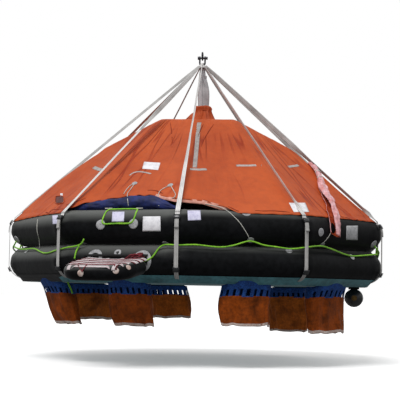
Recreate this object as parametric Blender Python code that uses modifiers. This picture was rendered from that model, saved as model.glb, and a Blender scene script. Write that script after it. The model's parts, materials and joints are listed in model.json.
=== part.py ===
# Davit-launched inflatable life raft, hung from the oval link of its lifting shackle.
# Metres, +Z up. The origin is where a davit hook bears in the link; -Y is the boarding ramp's side.

import math

import bpy
import bmesh
from mathutils import Matrix, Vector

GAP = 0.0003
SIDES = 10
STEP_ANGLE = 360.0 / SIDES
FIRST_CORNER = -90.0
MITRE = math.cos(math.radians(180.0 / SIDES))

# Heights are counted from the seam between the two tubes, which lies this far under the hook.
SEAM_Z = -2.245

RING_RADIUS = 1.93
TUBE_RADIUS = 0.1725
TUBE_FACETS = 20
TUBE_HEIGHT = TUBE_RADIUS + GAP / 2

CANOPY_THICKNESS = 0.012
CANOPY_RIM_ANGLE = 54.0
CANOPY_PER_SIDE = 4
CANOPY_ROWS = 5
ARCH_Y = 0.40
RIDGE_END_X = 0.40
RIDGE_HEIGHT = 1.44
SHOULDER_X = 1.05
SHOULDER_HEIGHT = 1.095
COLUMN_HOLE_RADIUS = 0.13

# How far the doorway's hem is lifted, as (place along the ring in sides, share of the way up).
HEM_LIFT = (
    (-1.10, 0.0), (-0.87, 0.095), (-0.66, 0.145), (-0.42, 0.17), (-0.25, 0.165),
    (-0.05, 0.12), (0.20, 0.105), (0.37, 0.06), (0.50, 0.0),
)
DOOR_OFFSETS = (0.0, SIDES / 2)

ARCH_RADIUS = 0.115
ARCH_CLEARANCE = 0.006

LEG_WIDTH = 0.05
LEG_THICKNESS = 0.004
LEG_START = 0.036
APEX_HEIGHT = 2.085
OVER_CANOPY = 0.0148
LEG_END_ANGLE = 36.3

BUCKLE_WIDTH = 0.075
BUCKLE_THICKNESS = 0.012

PIN_HEIGHT = 2.19
PIN_RADIUS = 0.011
PIN_HALF_LENGTH = 0.047
BOW_HALF_WIDTH = 0.030
BOW_BAR_RADIUS = 0.0095
BOW_BOTTOM_HEIGHT = 2.105
EAR_RADIUS = 0.021
EAR_THICKNESS = 0.019
LINK_BAR_RADIUS = 0.009
LINK_HALF_WIDTH = 0.031

COLLAR_TOP = 1.645
COLLAR_BORE = 0.0715
COLUMN_RADIUS = 0.068
INNER_LEG_COUNT = 5
# The tube turns a corner behind the webbing, whose edges touch first.
INNER_LEG_OFFSET = 0.0088

FLOOR_TOP = -(2 * TUBE_RADIUS + GAP / 2 + GAP)
FLOOR_THICKNESS = 0.03
FLOOR_RADIUS = 1.96
FLOOR_SAG = 0.017

POCKET_WIDTH = 0.42
POCKET_DEPTH = 0.20
POCKET_RADIUS = 1.72
# Bearing from +X, how far the wind carries the hem towards +X, and the drop.
POCKETS = (
    (215.0, 0.13, 0.425),
    (252.0, 0.07, 0.42),
    (290.5, 0.00, 0.42),
    (325.5, 0.01, 0.495),
    (58.5, 0.00, 0.54),
    (108.5, 0.06, 0.41),
    (144.0, 0.12, 0.43),
)

CYLINDER_RADIUS = 0.095
CYLINDER_LENGTH = 0.86
CYLINDER_X = 1.73
CRADLE_PAD = 0.026
CRADLE_BAND = 0.0045
CRADLE_BAND_Y = 0.24

DOOR_BEARINGS = (252.0, 72.0)
ROLL_RADIUS = 0.042
ROLL_LENGTH = 0.94
ROLL_ANGLE = 108.0

RAMP_BEARING = 252.0
RAMP_TILT = 10.0
RAMP_TUBE_RADIUS = 0.075
RAMP_HALF_WIDTH = 0.30
RAMP_REACH = 0.47
RAMP_BATTEN_RADIUS = 0.012
RAMP_MAT_THICKNESS = 0.012

LADDER_BEARING = 72.0
LADDER_BATTEN_RADIUS = 0.010
LADDER_HALF_WIDTH = 0.19
LADDER_STRAP = 0.04
LADDER_RUNG = 0.035
LADDER_STEP = 0.20
LADDER_STEPS = 2
LADDER_THICKNESS = 0.012

SLEEVE_RADIUS = 0.045
# Places on the canopy as (place along the ring in sides, share of the way up), then over the tube.
SLEEVE_ROUTE = ((1.96, 0.72), (1.80, 0.50), (1.60, 0.28), (1.46, 0.10))
SLEEVE_END_SIDE = 1.38
SLEEVE_ROUND_TUBE = (34.0, 14.0, -4.0)


def clear_scene():
    for thing in list(bpy.data.objects):
        bpy.data.objects.remove(thing)


def new_collection(name):
    group = bpy.data.collections.new(name)
    bpy.context.scene.collection.children.link(group)
    return group


def linear(channel):
    if channel <= 0.04045:
        return channel / 12.92
    return ((channel + 0.055) / 1.055) ** 2.4


def make_material(name, hex_colour, roughness, metallic=0.0):
    material = bpy.data.materials.new(name)
    material.use_nodes = True
    shader = material.node_tree.nodes["Principled BSDF"]
    channels = [linear(int(hex_colour[i:i + 2], 16) / 255.0) for i in (0, 2, 4)]
    shader.inputs["Base Color"].default_value = (*channels, 1.0)
    shader.inputs["Roughness"].default_value = roughness
    shader.inputs["Metallic"].default_value = metallic
    return material


def put_in(obj, group):
    for old in list(obj.users_collection):
        old.objects.unlink(obj)
    group.objects.link(obj)


def finish_object(obj, name, material, smooth=True):
    obj.name = name
    obj.data.name = name
    put_in(obj, raft_parts)
    obj.data.materials.clear()
    obj.data.materials.append(material)
    if obj.type == "MESH" and smooth:
        obj.data.shade_smooth()
        obj.data.set_sharp_from_angle(angle=math.radians(35))
    return obj


def object_from_bmesh(bm, name, material, smooth=True):
    bmesh.ops.recalc_face_normals(bm, faces=bm.faces)
    mesh = bpy.data.meshes.new(name)
    bm.to_mesh(mesh)
    bm.free()
    return finish_object(bpy.data.objects.new(name, mesh), name, material, smooth)


def add_modifier(obj, kind, **settings):
    modifier = obj.modifiers.new(kind.title(), kind)
    for key, value in settings.items():
        setattr(modifier, key, value)
    return modifier


def boolean(obj, other, operation):
    other.hide_render = True
    other.display_type = "WIRE"
    put_in(other, cutters)
    add_modifier(obj, "BOOLEAN", operation=operation, object=other, solver="EXACT")


def corner_bearing(index):
    return FIRST_CORNER + STEP_ANGLE * index


def radial(bearing, radius, height):
    angle = math.radians(bearing)
    return Vector((radius * math.cos(angle), radius * math.sin(angle), SEAM_Z + height))


def side_frame(bearing):
    # Columns are outward, along the side and up.
    angle = math.radians(bearing)
    outward = Vector((math.cos(angle), math.sin(angle), 0.0))
    along = Vector((-math.sin(angle), math.cos(angle), 0.0))
    return Matrix((outward, along, Vector((0.0, 0.0, 1.0)))).transposed()


def tube_section(angle, offset, upper=True):
    # Radius and height of a point this far off a tube's skin in the plane of a corner.
    turn = math.radians(angle)
    radius = RING_RADIUS + (TUBE_RADIUS + offset) / MITRE * math.cos(turn)
    centre = TUBE_HEIGHT if upper else -TUBE_HEIGHT
    return radius, centre + (TUBE_RADIUS + offset) * math.sin(turn)


def turned(name, profile, steps, material, start_angle=0.0):
    # The profile runs from top to bottom as (radius, height over the local origin).
    bm = bmesh.new()
    verts = [bm.verts.new((radius, 0.0, height)) for radius, height in profile]
    for low, high in zip(verts, verts[1:]):
        bm.edges.new((low, high))
    mesh = bpy.data.meshes.new(name)
    bm.to_mesh(mesh)
    bm.free()
    obj = bpy.data.objects.new(name, mesh)
    finish_object(obj, name, material, smooth=False)
    add_modifier(obj, "SCREW", angle=math.radians(360), screw_offset=0.0, steps=steps, render_steps=steps,
                 use_merge_vertices=True, merge_threshold=0.00005, use_smooth_shade=False)
    obj.rotation_euler.z = math.radians(start_angle)
    return obj


def tube_curve(name, points, radius, material, resolution=3, cyclic=False):
    curve = bpy.data.curves.new(name, "CURVE")
    curve.dimensions = "3D"
    curve.bevel_depth = radius
    curve.bevel_resolution = resolution
    curve.use_fill_caps = not cyclic
    spline = curve.splines.new("POLY")
    spline.points.add(len(points) - 1)
    for point, place in zip(spline.points, points):
        point.co = (*place, 1.0)
    spline.use_cyclic_u = cyclic
    return finish_object(bpy.data.objects.new(name, curve), name, material)


def mesh_from_curve(obj):
    bpy.context.view_layer.update()
    graph = bpy.context.evaluated_depsgraph_get()
    mesh = bpy.data.meshes.new_from_object(obj.evaluated_get(graph))
    bm = bmesh.new()
    bm.from_mesh(mesh)
    bmesh.ops.remove_doubles(bm, verts=bm.verts, dist=0.00005)
    bmesh.ops.recalc_face_normals(bm, faces=bm.faces)
    bm.to_mesh(mesh)
    bm.free()
    name = obj.name
    material = obj.data.materials[0]
    matrix = obj.matrix_world.copy()
    bpy.data.objects.remove(obj)
    solid = bpy.data.objects.new(name, mesh)
    solid.matrix_world = matrix
    return finish_object(solid, name, material)


def flat_outline(name, outlines, thickness, material, matrix):
    curve = bpy.data.curves.new(name, "CURVE")
    curve.dimensions = "2D"
    curve.fill_mode = "BOTH"
    curve.extrude = thickness / 2
    for outline in outlines:
        spline = curve.splines.new("POLY")
        spline.points.add(len(outline) - 1)
        for point, place in zip(spline.points, outline):
            point.co = (place[0], place[1], 0.0, 1.0)
        spline.use_cyclic_u = True
    obj = finish_object(bpy.data.objects.new(name, curve), name, material)
    obj.matrix_world = matrix
    return mesh_from_curve(obj)


def cylinder(name, radius, depth, centre, matrix, material, sides=16):
    bpy.ops.mesh.primitive_cylinder_add(vertices=sides, radius=radius, depth=depth)
    obj = bpy.context.object
    obj.matrix_world = Matrix.Translation(centre) @ matrix.to_4x4()
    return finish_object(obj, name, material)


def box(name, size, centre, material, matrix=None):
    bpy.ops.mesh.primitive_cube_add(size=1.0)
    obj = bpy.context.object
    obj.data.transform(Matrix.Diagonal((*size, 1.0)))
    turn = matrix.to_4x4() if matrix else Matrix.Identity(4)
    obj.matrix_world = Matrix.Translation(centre) @ turn
    return finish_object(obj, name, material)


def strap(name, bearing, stations, material):
    # Each station is (radius, height, width, thickness) of a flat section square to the path.
    frame = side_frame(bearing)
    bm = bmesh.new()
    rings = []
    for index, (radius, height, width, thickness) in enumerate(stations):
        before = stations[max(index - 1, 0)]
        after = stations[min(index + 1, len(stations) - 1)]
        run = Vector((after[0] - before[0], 0.0, after[1] - before[1])).normalized()
        rise = Vector((-run.z, 0.0, run.x))
        centre = Vector((radius, 0.0, height))
        ring = []
        for across, up in ((-1, -1), (1, -1), (1, 1), (-1, 1)):
            place = centre + Vector((0.0, across * width / 2, 0.0)) + rise * (up * thickness / 2)
            ring.append(bm.verts.new(frame @ place + Vector((0.0, 0.0, SEAM_Z))))
        rings.append(ring)
    for first, second in zip(rings, rings[1:]):
        for side in range(4):
            beyond = (side + 1) % 4
            bm.faces.new((first[side], first[beyond], second[beyond], second[side]))
    bm.faces.new(rings[0])
    bm.faces.new(rings[-1])
    return object_from_bmesh(bm, name, material, smooth=False)


def x_axis_turn():
    return Matrix.Rotation(math.radians(90), 3, "Y")


def buoyancy_tube(name, upper):
    bpy.ops.mesh.primitive_torus_add(
        major_segments=SIDES, minor_segments=TUBE_FACETS, major_radius=RING_RADIUS, minor_radius=TUBE_RADIUS)
    obj = bpy.context.object
    # Straight lengths that meet in a mitre are wider across the corner than along a side.
    for vertex in obj.data.vertices:
        flat = Vector((vertex.co.x, vertex.co.y))
        radius = RING_RADIUS + (flat.length - RING_RADIUS) / MITRE
        flat = flat.normalized() * radius
        vertex.co = (flat.x, flat.y, vertex.co.z)
    obj.rotation_euler.z = math.radians(corner_bearing(0) % STEP_ANGLE)
    obj.location.z = SEAM_Z + (TUBE_HEIGHT if upper else -TUBE_HEIGHT)
    return finish_object(obj, name, black_rubber)


def raft_floor():
    edge_low = FLOOR_TOP - FLOOR_THICKNESS
    profile = (
        (0.0, FLOOR_TOP - FLOOR_SAG),
        (1.20, FLOOR_TOP - FLOOR_SAG),
        (1.65, FLOOR_TOP),
        (FLOOR_RADIUS, FLOOR_TOP),
        (FLOOR_RADIUS, edge_low),
        (1.42, edge_low),
        (0.95, edge_low - FLOOR_SAG),
        (0.0, edge_low - FLOOR_SAG),
    )
    obj = turned("floor", profile, SIDES, floor_fabric, start_angle=corner_bearing(0) % STEP_ANGLE)
    obj.location.z = SEAM_Z


def hem_share(place):
    # The doorways repeat half a turn apart.
    for offset in DOOR_OFFSETS:
        local = (place - offset + SIDES / 2) % SIDES - SIDES / 2
        for (low, low_lift), (high, high_lift) in zip(HEM_LIFT, HEM_LIFT[1:]):
            if low <= local <= high:
                return low_lift + (high_lift - low_lift) * (local - low) / (high - low)
    return 0.0


def arch_line():
    # The top ring of the canopy's walls, one point above each corner of the tube.
    front = (
        (0.0, RIDGE_HEIGHT),
        (RIDGE_END_X, RIDGE_HEIGHT),
        (SHOULDER_X, SHOULDER_HEIGHT),
    )
    half = [Vector((x, -ARCH_Y, height)) for x, height in front]
    half += [Vector((x, ARCH_Y, height)) for x, height in reversed(front)]
    return half + [Vector((-point.x, point.y, point.z)) for point in reversed(half[1:-1])]


def between(points, place):
    index = int(math.floor(place)) % SIDES
    share = place - math.floor(place)
    return points[index].lerp(points[(index + 1) % SIDES], share)


def canopy_point(place, share, lift=0.0):
    # A point on the canopy's inner skin: place counts sides round the ring, share runs from tube to arch.
    radius, height = tube_section(CANOPY_RIM_ANGLE, GAP)
    rim = [radial(corner_bearing(index), radius, height) for index in range(SIDES)]
    top = [point + Vector((0.0, 0.0, SEAM_Z)) for point in arch_line()]
    low = between(rim, place)
    high = between(top, place)
    point = low.lerp(high, share)
    if lift:
        ahead = between(rim, place + 0.01) - low
        normal = ahead.cross(high - low).normalized()
        point += normal * lift
    return point


def door_stations():
    places = {index / CANOPY_PER_SIDE for index in range(SIDES * CANOPY_PER_SIDE)}
    for offset in DOOR_OFFSETS:
        for place, lift in HEM_LIFT:
            local = (place + offset) % SIDES
            nearest = min(places, key=lambda other: abs(other - local))
            if abs(nearest - local) < 0.09 and nearest % 1.0:
                places.discard(nearest)
            places.add(local)
    return sorted(places)


def canopy():
    bm = bmesh.new()
    places = door_stations()
    columns = []
    for place in places:
        low = hem_share(place)
        shares = [low + (1.0 - low) * row / CANOPY_ROWS for row in range(CANOPY_ROWS + 1)]
        columns.append([bm.verts.new(canopy_point(place, share)) for share in shares])
    for index, column in enumerate(columns):
        beyond = columns[(index + 1) % len(columns)]
        for row in range(CANOPY_ROWS):
            bm.faces.new((column[row], beyond[row], beyond[row + 1], column[row + 1]))
    # The flat of the roof joins each point over the front arch to the one over the back arch.
    tops = {round(place, 4): column[-1] for place, column in zip(places, columns)}
    crown(bm, tops)
    mesh = bpy.data.meshes.new("canopy")
    bmesh.ops.remove_doubles(bm, verts=bm.verts, dist=0.0001)
    bmesh.ops.recalc_face_normals(bm, faces=bm.faces)
    if sum(face.normal.z for face in bm.faces) < 0:
        bmesh.ops.reverse_faces(bm, faces=bm.faces)
    bm.to_mesh(mesh)
    bm.free()
    obj = finish_object(bpy.data.objects.new("canopy", mesh), "canopy", orange_fabric, smooth=False)
    add_modifier(obj, "SOLIDIFY", thickness=CANOPY_THICKNESS, offset=1.0, use_even_offset=True)
    hole = cylinder("column_hole", COLUMN_HOLE_RADIUS, 0.3, Vector((0.0, 0.0, SEAM_Z + RIDGE_HEIGHT)),
                    Matrix.Identity(3), orange_fabric, sides=20)
    boolean(obj, hole, "DIFFERENCE")
    return obj


def crown(bm, tops):
    # Rows run across the roof at every place that the front edge has, and so do the back edge's own.
    front = sorted(place if place > SIDES / 2 else place + SIDES for place in tops
                   if place >= 8.0 - 0.001 or place <= 2.001)
    back = [place for place in tops if 3.0 - 0.001 <= place <= 7.001]
    mirrored = sorted(15.0 - place for place in back)
    across = CANOPY_PER_SIDE
    rows = []
    for place in front:
        start = tops[round(place % SIDES, 4)]
        rows.append((place, start))
    ends = []
    for place in mirrored:
        ends.append((place, tops[round(15.0 - place, 4)]))
    levels = []
    for level in range(across + 1):
        share = level / across
        if level == 0:
            levels.append([vertex for place, vertex in rows])
        elif level == across:
            levels.append([vertex for place, vertex in ends])
        else:
            line = []
            for place, vertex in rows:
                x, height = vertex.co.x, vertex.co.z
                y = vertex.co.y * (1.0 - 2.0 * share)
                line.append(bm.verts.new((x, y, height)))
            levels.append(line)
    for low, high in zip(levels, levels[1:]):
        bridge_lines(bm, low, high)


def bridge_lines(bm, low, high):
    # Joins two rows of points that run the same way, which may differ in how many they are.
    i = 0
    j = 0
    while i < len(low) - 1 or j < len(high) - 1:
        step_low = i < len(low) - 1
        step_high = j < len(high) - 1
        if step_low and step_high:
            gap_x = abs(low[i + 1].co.x - high[j + 1].co.x)
            if gap_x < 0.001:
                bm.faces.new((low[i], low[i + 1], high[j + 1], high[j]))
                i += 1
                j += 1
                continue
            step_low = low[i + 1].co.x < high[j + 1].co.x
        if step_low:
            bm.faces.new((low[i], low[i + 1], high[j]))
            i += 1
        else:
            bm.faces.new((low[i], high[j + 1], high[j]))
            j += 1


def arches():
    # An arch lies in the crease between roof and wall; its feet stand on the upper tube.
    slope = math.atan2(SHOULDER_HEIGHT - canopy_rim_height(), side_rim_x() - SHOULDER_X)
    depth = ARCH_RADIUS + ARCH_CLEARANCE
    inset = 0.34 * depth
    ridge_slope = math.atan2(RIDGE_HEIGHT - SHOULDER_HEIGHT, SHOULDER_X - RIDGE_END_X)
    ridge = Vector((RIDGE_END_X - depth * math.tan(ridge_slope / 2), RIDGE_HEIGHT - depth))
    bend = (slope + ridge_slope) / 2
    reach = depth / math.cos((slope - ridge_slope) / 2)
    shoulder = Vector((SHOULDER_X - reach * math.sin(bend), SHOULDER_HEIGHT - reach * math.cos(bend)))
    down = Vector((math.cos(slope), -math.sin(slope)))
    centre = Vector((RING_RADIUS * MITRE, TUBE_HEIGHT))
    along = (centre - shoulder).dot(down)
    facing = 180.0 - math.degrees(slope)
    nearest = round(facing * TUBE_FACETS / 360.0) * 360.0 / TUBE_FACETS
    foot = shoulder + down * (along - TUBE_RADIUS * math.cos(math.radians(facing - nearest)) - GAP)
    for name, side in (("arch_tube_front", -1), ("arch_tube_rear", 1)):
        y = side * (ARCH_Y - inset)
        half = [Vector((spot.x, y, spot.y)) for spot in (ridge, shoulder, foot)]
        half = round_bend(half, 1, 0.16)
        points = [Vector((-point.x, point.y, point.z)) for point in reversed(half)] + half
        points = [point + Vector((0.0, 0.0, SEAM_Z)) for point in points]
        tube_curve(name, points, ARCH_RADIUS, arch_fabric, resolution=4)


def round_bend(points, index, length):
    # Replaces a sharp bend by three points of a curve that starts this far before it.
    corner = points[index]
    start = corner + (points[index - 1] - corner).normalized() * length
    end = corner + (points[index + 1] - corner).normalized() * length
    middle = start.lerp(corner, 0.5).lerp(corner.lerp(end, 0.5), 0.5)
    return points[:index] + [start, middle, end] + points[index + 1:]


def canopy_rim_height():
    return tube_section(CANOPY_RIM_ANGLE, GAP)[1]


def side_rim_x():
    return tube_section(CANOPY_RIM_ANGLE, GAP)[0] * MITRE


def leg_line():
    # A taut line from the apex to where it touches the tube, found where the mitre's ellipse is a circle.
    reach = TUBE_RADIUS + OVER_CANOPY + LEG_THICKNESS / 2
    centre = Vector((RING_RADIUS * MITRE, TUBE_HEIGHT))
    apex = Vector((0.0, APEX_HEIGHT))
    to_centre = centre - apex
    turn = math.asin(reach / to_centre.length)
    touch_angle = math.atan2(to_centre.y, to_centre.x) + turn + math.radians(90)
    touch = centre + Vector((math.cos(touch_angle), math.sin(touch_angle))) * reach
    return math.degrees(touch_angle), Vector((touch.x / MITRE, touch.y))


def bridle_legs():
    touch_angle, touch = leg_line()
    apex = Vector((0.0, APEX_HEIGHT))
    half = LEG_THICKNESS / 2
    stations = []
    for radius in (LEG_START, 0.085, touch.x * 0.5, touch.x):
        place = apex.lerp(touch, radius / touch.x)
        stations.append((place.x, place.y, min(LEG_WIDTH, 0.6 * radius), LEG_THICKNESS))
    for angle, offset in ((46.0, 0.008), (LEG_END_ANGLE, 0.0004)):
        radius, height = tube_section(angle, offset + half)
        stations.append((radius, height, LEG_WIDTH, LEG_THICKNESS))
    for index in range(SIDES):
        strap(f"bridle_leg_{index + 1:02d}", corner_bearing(index), stations, white_webbing)


def tube_straps():
    # A buckle on the upper tube's shoulder, then webbing down the outer faces and under the lower tube.
    lift = 0.0004
    stations = []
    for angle, thickness, width, upper in (
            (36.0, BUCKLE_THICKNESS, BUCKLE_WIDTH, True),
            (21.0, BUCKLE_THICKNESS, BUCKLE_WIDTH, True),
            (18.0, LEG_THICKNESS, LEG_WIDTH, True),
            (0.0, LEG_THICKNESS, LEG_WIDTH, True),
            (0.0, LEG_THICKNESS, LEG_WIDTH, False),
            (-14.0, LEG_THICKNESS, LEG_WIDTH, False),
            (-18.0, BUCKLE_THICKNESS, BUCKLE_WIDTH, False),
            (-32.0, BUCKLE_THICKNESS, BUCKLE_WIDTH, False),
            (-36.0, LEG_THICKNESS, LEG_WIDTH, False),
            (-54.0, LEG_THICKNESS, LEG_WIDTH, False),
            (-72.0, LEG_THICKNESS, LEG_WIDTH, False)):
        radius, height = tube_section(angle, lift + thickness / 2, upper)
        stations.append((radius, height, width, thickness))
    for index in range(SIDES):
        strap(f"tube_strap_{index + 1:02d}", corner_bearing(index), stations, white_webbing)


def lifting_gear():
    pin_z = SEAM_Z + PIN_HEIGHT
    top_centre = LINK_BAR_RADIUS - LINK_HALF_WIDTH
    low_centre = pin_z - PIN_RADIUS - LINK_BAR_RADIUS + LINK_HALF_WIDTH
    link = []
    for start, centre in ((0.0, top_centre), (180.0, low_centre)):
        for step in range(9):
            angle = math.radians(start + 22.5 * step)
            y = LINK_HALF_WIDTH * math.cos(angle)
            link.append(Vector((0.0, y, centre + LINK_HALF_WIDTH * math.sin(angle))))
    tube_curve("lifting_link", link, LINK_BAR_RADIUS, forged_steel, resolution=4, cyclic=True)

    bottom = SEAM_Z + BOW_BOTTOM_HEIGHT
    bend = bottom + BOW_HALF_WIDTH
    bow = [Vector((-BOW_HALF_WIDTH, 0.0, pin_z))]
    for step in range(9):
        angle = math.radians(180 + 22.5 * step)
        bow.append(Vector((BOW_HALF_WIDTH * math.cos(angle), 0.0, bend + BOW_HALF_WIDTH * math.sin(angle))))
    bow.append(Vector((BOW_HALF_WIDTH, 0.0, pin_z)))
    body = mesh_from_curve(tube_curve("shackle_bow", bow, BOW_BAR_RADIUS, forged_steel, resolution=3))
    for side in (-1, 1):
        ear = cylinder(f"ear_{side}", EAR_RADIUS, EAR_THICKNESS, Vector((side * BOW_HALF_WIDTH, 0.0, pin_z)),
                       x_axis_turn(), forged_steel, sides=20)
        boolean(body, ear, "UNION")
    bore = cylinder("pin_bore", PIN_RADIUS + GAP, 4 * PIN_HALF_LENGTH, Vector((0.0, 0.0, pin_z)),
                    x_axis_turn(), forged_steel, sides=16)
    boolean(body, bore, "DIFFERENCE")

    face = BOW_HALF_WIDTH + EAR_THICKNESS / 2 + GAP
    profile = (
        (0.0, PIN_HALF_LENGTH + 0.012),
        (0.017, PIN_HALF_LENGTH + 0.012),
        (0.017, face),
        (PIN_RADIUS - GAP, face),
        (PIN_RADIUS - GAP, -face),
        (0.019, -face),
        (0.019, -face - 0.013),
        (0.0, -face - 0.013),
    )
    pin = turned("shackle_pin", profile, 16, forged_steel)
    pin.location.z = pin_z
    pin.rotation_euler.y = math.radians(90)


def bridle_head():
    # The sewn eyes of all the legs: a loop on the bow, over a ten-sided cone that the legs lie on.
    touch = leg_line()[1]
    slope = (APEX_HEIGHT - touch.y) / touch.x
    under = (LEG_THICKNESS / 2 + GAP * 2) * math.hypot(1.0, slope)
    top = 0.020
    wide = 0.125
    profile = (
        (0.0, APEX_HEIGHT - top * slope - under),
        (top / MITRE, APEX_HEIGHT - top * slope - under),
        (wide / MITRE, APEX_HEIGHT - wide * slope - under),
        ((wide - 0.035) / MITRE, APEX_HEIGHT - (wide + 0.02) * slope - under),
        (0.05, 1.935),
        (0.0, 1.935),
    )
    head = turned("bridle_head", profile, SIDES, white_webbing)
    head.location.z = SEAM_Z
    hole_radius = 0.0122
    hole = Vector((0.0, 0.0, SEAM_Z + 2.1072))
    loop = cylinder("eye_loop", 0.026, 0.024, hole, x_axis_turn(), white_webbing, sides=20)
    boolean(head, loop, "UNION")
    stem = box("eye_stem", (0.024, 0.044, 0.07), hole - Vector((0.0, 0.0, 0.047)), white_webbing)
    boolean(head, stem, "UNION")
    bore = cylinder("eye_bore", hole_radius, 0.1, hole, x_axis_turn(), white_webbing, sides=20)
    boolean(head, bore, "DIFFERENCE")


def inner_bridle():
    # The column of inner straps, which part under the roof and run to the foot of the upper tube.
    profile = (
        (0.0, 1.935 - GAP),
        (0.048, 1.935 - GAP),
        (0.058, 1.83),
        (0.065, 1.72),
        (COLUMN_RADIUS, COLLAR_TOP),
        (COLUMN_RADIUS, 1.45),
        (0.056, 1.34),
        (0.0, 1.28),
    )
    column = turned("inner_bridle", profile, SIDES, grey_webbing)
    column.location.z = SEAM_Z
    end_radius, end_height = tube_section(180.0, INNER_LEG_OFFSET)
    start = Vector((0.03, 1.33))
    end = Vector((end_radius, end_height))
    stations = []
    for share in (0.0, 0.5, 1.0):
        place = start.lerp(end, share)
        stations.append((place.x, place.y, 0.045, 0.006))
    for count in range(INNER_LEG_COUNT):
        leg = strap(f"inner_leg_{count + 1}", corner_bearing(1 + 2 * count), stations, grey_webbing)
        boolean(column, leg, "UNION")


def canopy_collar():
    base = RIDGE_HEIGHT + CANOPY_THICKNESS + GAP
    profile = (
        (COLLAR_BORE, COLLAR_TOP),
        (0.084, COLLAR_TOP),
        (0.095, 1.618),
        (0.083, 1.588),
        (0.098, 1.552),
        (0.116, 1.516),
        (0.190, base + 0.012),
        (0.190, base),
        (COLLAR_BORE + 0.065, base),
        (COLLAR_BORE, 1.525),
        (COLLAR_BORE, COLLAR_TOP),
    )
    collar = turned("canopy_collar", profile, 20, orange_fabric)
    collar.location.z = SEAM_Z


def ballast_pockets():
    top = FLOOR_TOP - FLOOR_THICKNESS - GAP
    for index, (bearing, lean, drop) in enumerate(POCKETS):
        frame = side_frame(bearing)
        centre = frame @ Vector((POCKET_RADIUS, 0.0, 0.0))
        bm = bmesh.new()
        rings = []
        for share, swell in ((0.0, 1.0), (0.3, 1.04), (0.7, 1.06), (1.0, 0.94)):
            ring = []
            for step in range(16):
                angle = math.radians(22.5 * step)
                # A squared oval, as a filled bag hangs.
                across = abs(math.sin(angle)) ** 0.5 * math.copysign(0.5, math.sin(angle))
                deep = abs(math.cos(angle)) ** 0.5 * math.copysign(0.5, math.cos(angle))
                local = frame @ Vector((deep * POCKET_DEPTH * swell, across * POCKET_WIDTH * swell, 0.0))
                place = centre + local + Vector((lean * share ** 1.4, 0.0, SEAM_Z + top - drop * share))
                ring.append(bm.verts.new(place))
            rings.append(ring)
        for first, second in zip(rings, rings[1:]):
            for side in range(16):
                beyond = (side + 1) % 16
                bm.faces.new((first[side], first[beyond], second[beyond], second[side]))
        bm.faces.new(rings[0])
        bm.faces.new(rings[-1])
        object_from_bmesh(bm, f"ballast_pocket_{index + 1}", pocket_fabric)


def gas_cylinder():
    under = FLOOR_TOP - FLOOR_THICKNESS - GAP
    height = under - CRADLE_PAD - GAP - CYLINDER_RADIUS
    half = CYLINDER_LENGTH / 2
    dome = 0.06
    profile = [(0.0, half)]
    for step in range(1, 5):
        angle = math.radians(22.5 * step)
        profile.append((CYLINDER_RADIUS * math.sin(angle), half - dome + dome * math.cos(angle)))
    profile += [(radius, -level) for radius, level in reversed(profile[1:])]
    profile.append((0.0, -half))
    bottle = turned("gas_cylinder", profile, 20, cylinder_paint)
    bottle.rotation_euler.x = math.radians(90)
    bottle.location = (CYLINDER_X, 0.0, SEAM_Z + height)

    valve_profile = (
        (0.0, 0.085), (0.018, 0.085), (0.018, 0.05), (0.030, 0.05), (0.030, 0.014), (0.019, 0.014),
        (0.019, 0.0), (0.0, 0.0))
    valve = turned("cylinder_valve", valve_profile, 14, brass)
    valve.rotation_euler.x = math.radians(90)
    valve.location = (CYLINDER_X, -half - GAP, SEAM_Z + height)

    inner = CYLINDER_RADIUS + GAP
    outer = inner + CRADLE_BAND
    pad_low = height + inner + GAP
    pad = box("cylinder_cradle", (0.11, 0.62, under - pad_low),
              Vector((CYLINDER_X, 0.0, SEAM_Z + (under + pad_low) / 2)), black_webbing)
    for side in (-1, 1):
        ring_profile = ((inner, 0.03), (outer, 0.03), (outer, -0.03), (inner, -0.03), (inner, 0.03))
        band = turned(f"cradle_band_{side}", ring_profile, 20, black_webbing)
        band.rotation_euler.x = math.radians(90)
        band.location = (CYLINDER_X, side * CRADLE_BAND_Y, SEAM_Z + height)
        boolean(pad, band, "UNION")


def curtain_rolls():
    reach = TUBE_RADIUS + ROLL_RADIUS + GAP
    radius = RING_RADIUS * MITRE + reach * math.cos(math.radians(ROLL_ANGLE))
    height = TUBE_HEIGHT + reach * math.sin(math.radians(ROLL_ANGLE))
    for name, bearing in zip(("door_curtain_front", "door_curtain_rear"), DOOR_BEARINGS):
        frame = side_frame(bearing) @ Matrix.Rotation(math.radians(90), 3, "X")
        roll = cylinder(name, ROLL_RADIUS, ROLL_LENGTH, radial(bearing, radius, height),
                        frame, navy_fabric, sides=TUBE_FACETS)
        add_modifier(roll, "BEVEL", width=0.012, segments=2, limit_method="ANGLE")


def ramp_matrix(bearing, angle_place, lift, tilt):
    # An origin just off the lower tube's skin, with X along the side, Y outward and Z up.
    turn = math.radians(angle_place)
    radius = RING_RADIUS * MITRE + (TUBE_RADIUS + lift) * math.cos(turn)
    height = -TUBE_HEIGHT + (TUBE_RADIUS + lift) * math.sin(turn)
    frame = side_frame(bearing) @ Matrix.Rotation(math.radians(-90), 3, "Z")
    tilted = frame @ Matrix.Rotation(math.radians(-tilt), 3, "X")
    return Matrix.Translation(radial(bearing, radius, height)) @ tilted.to_4x4()


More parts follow.
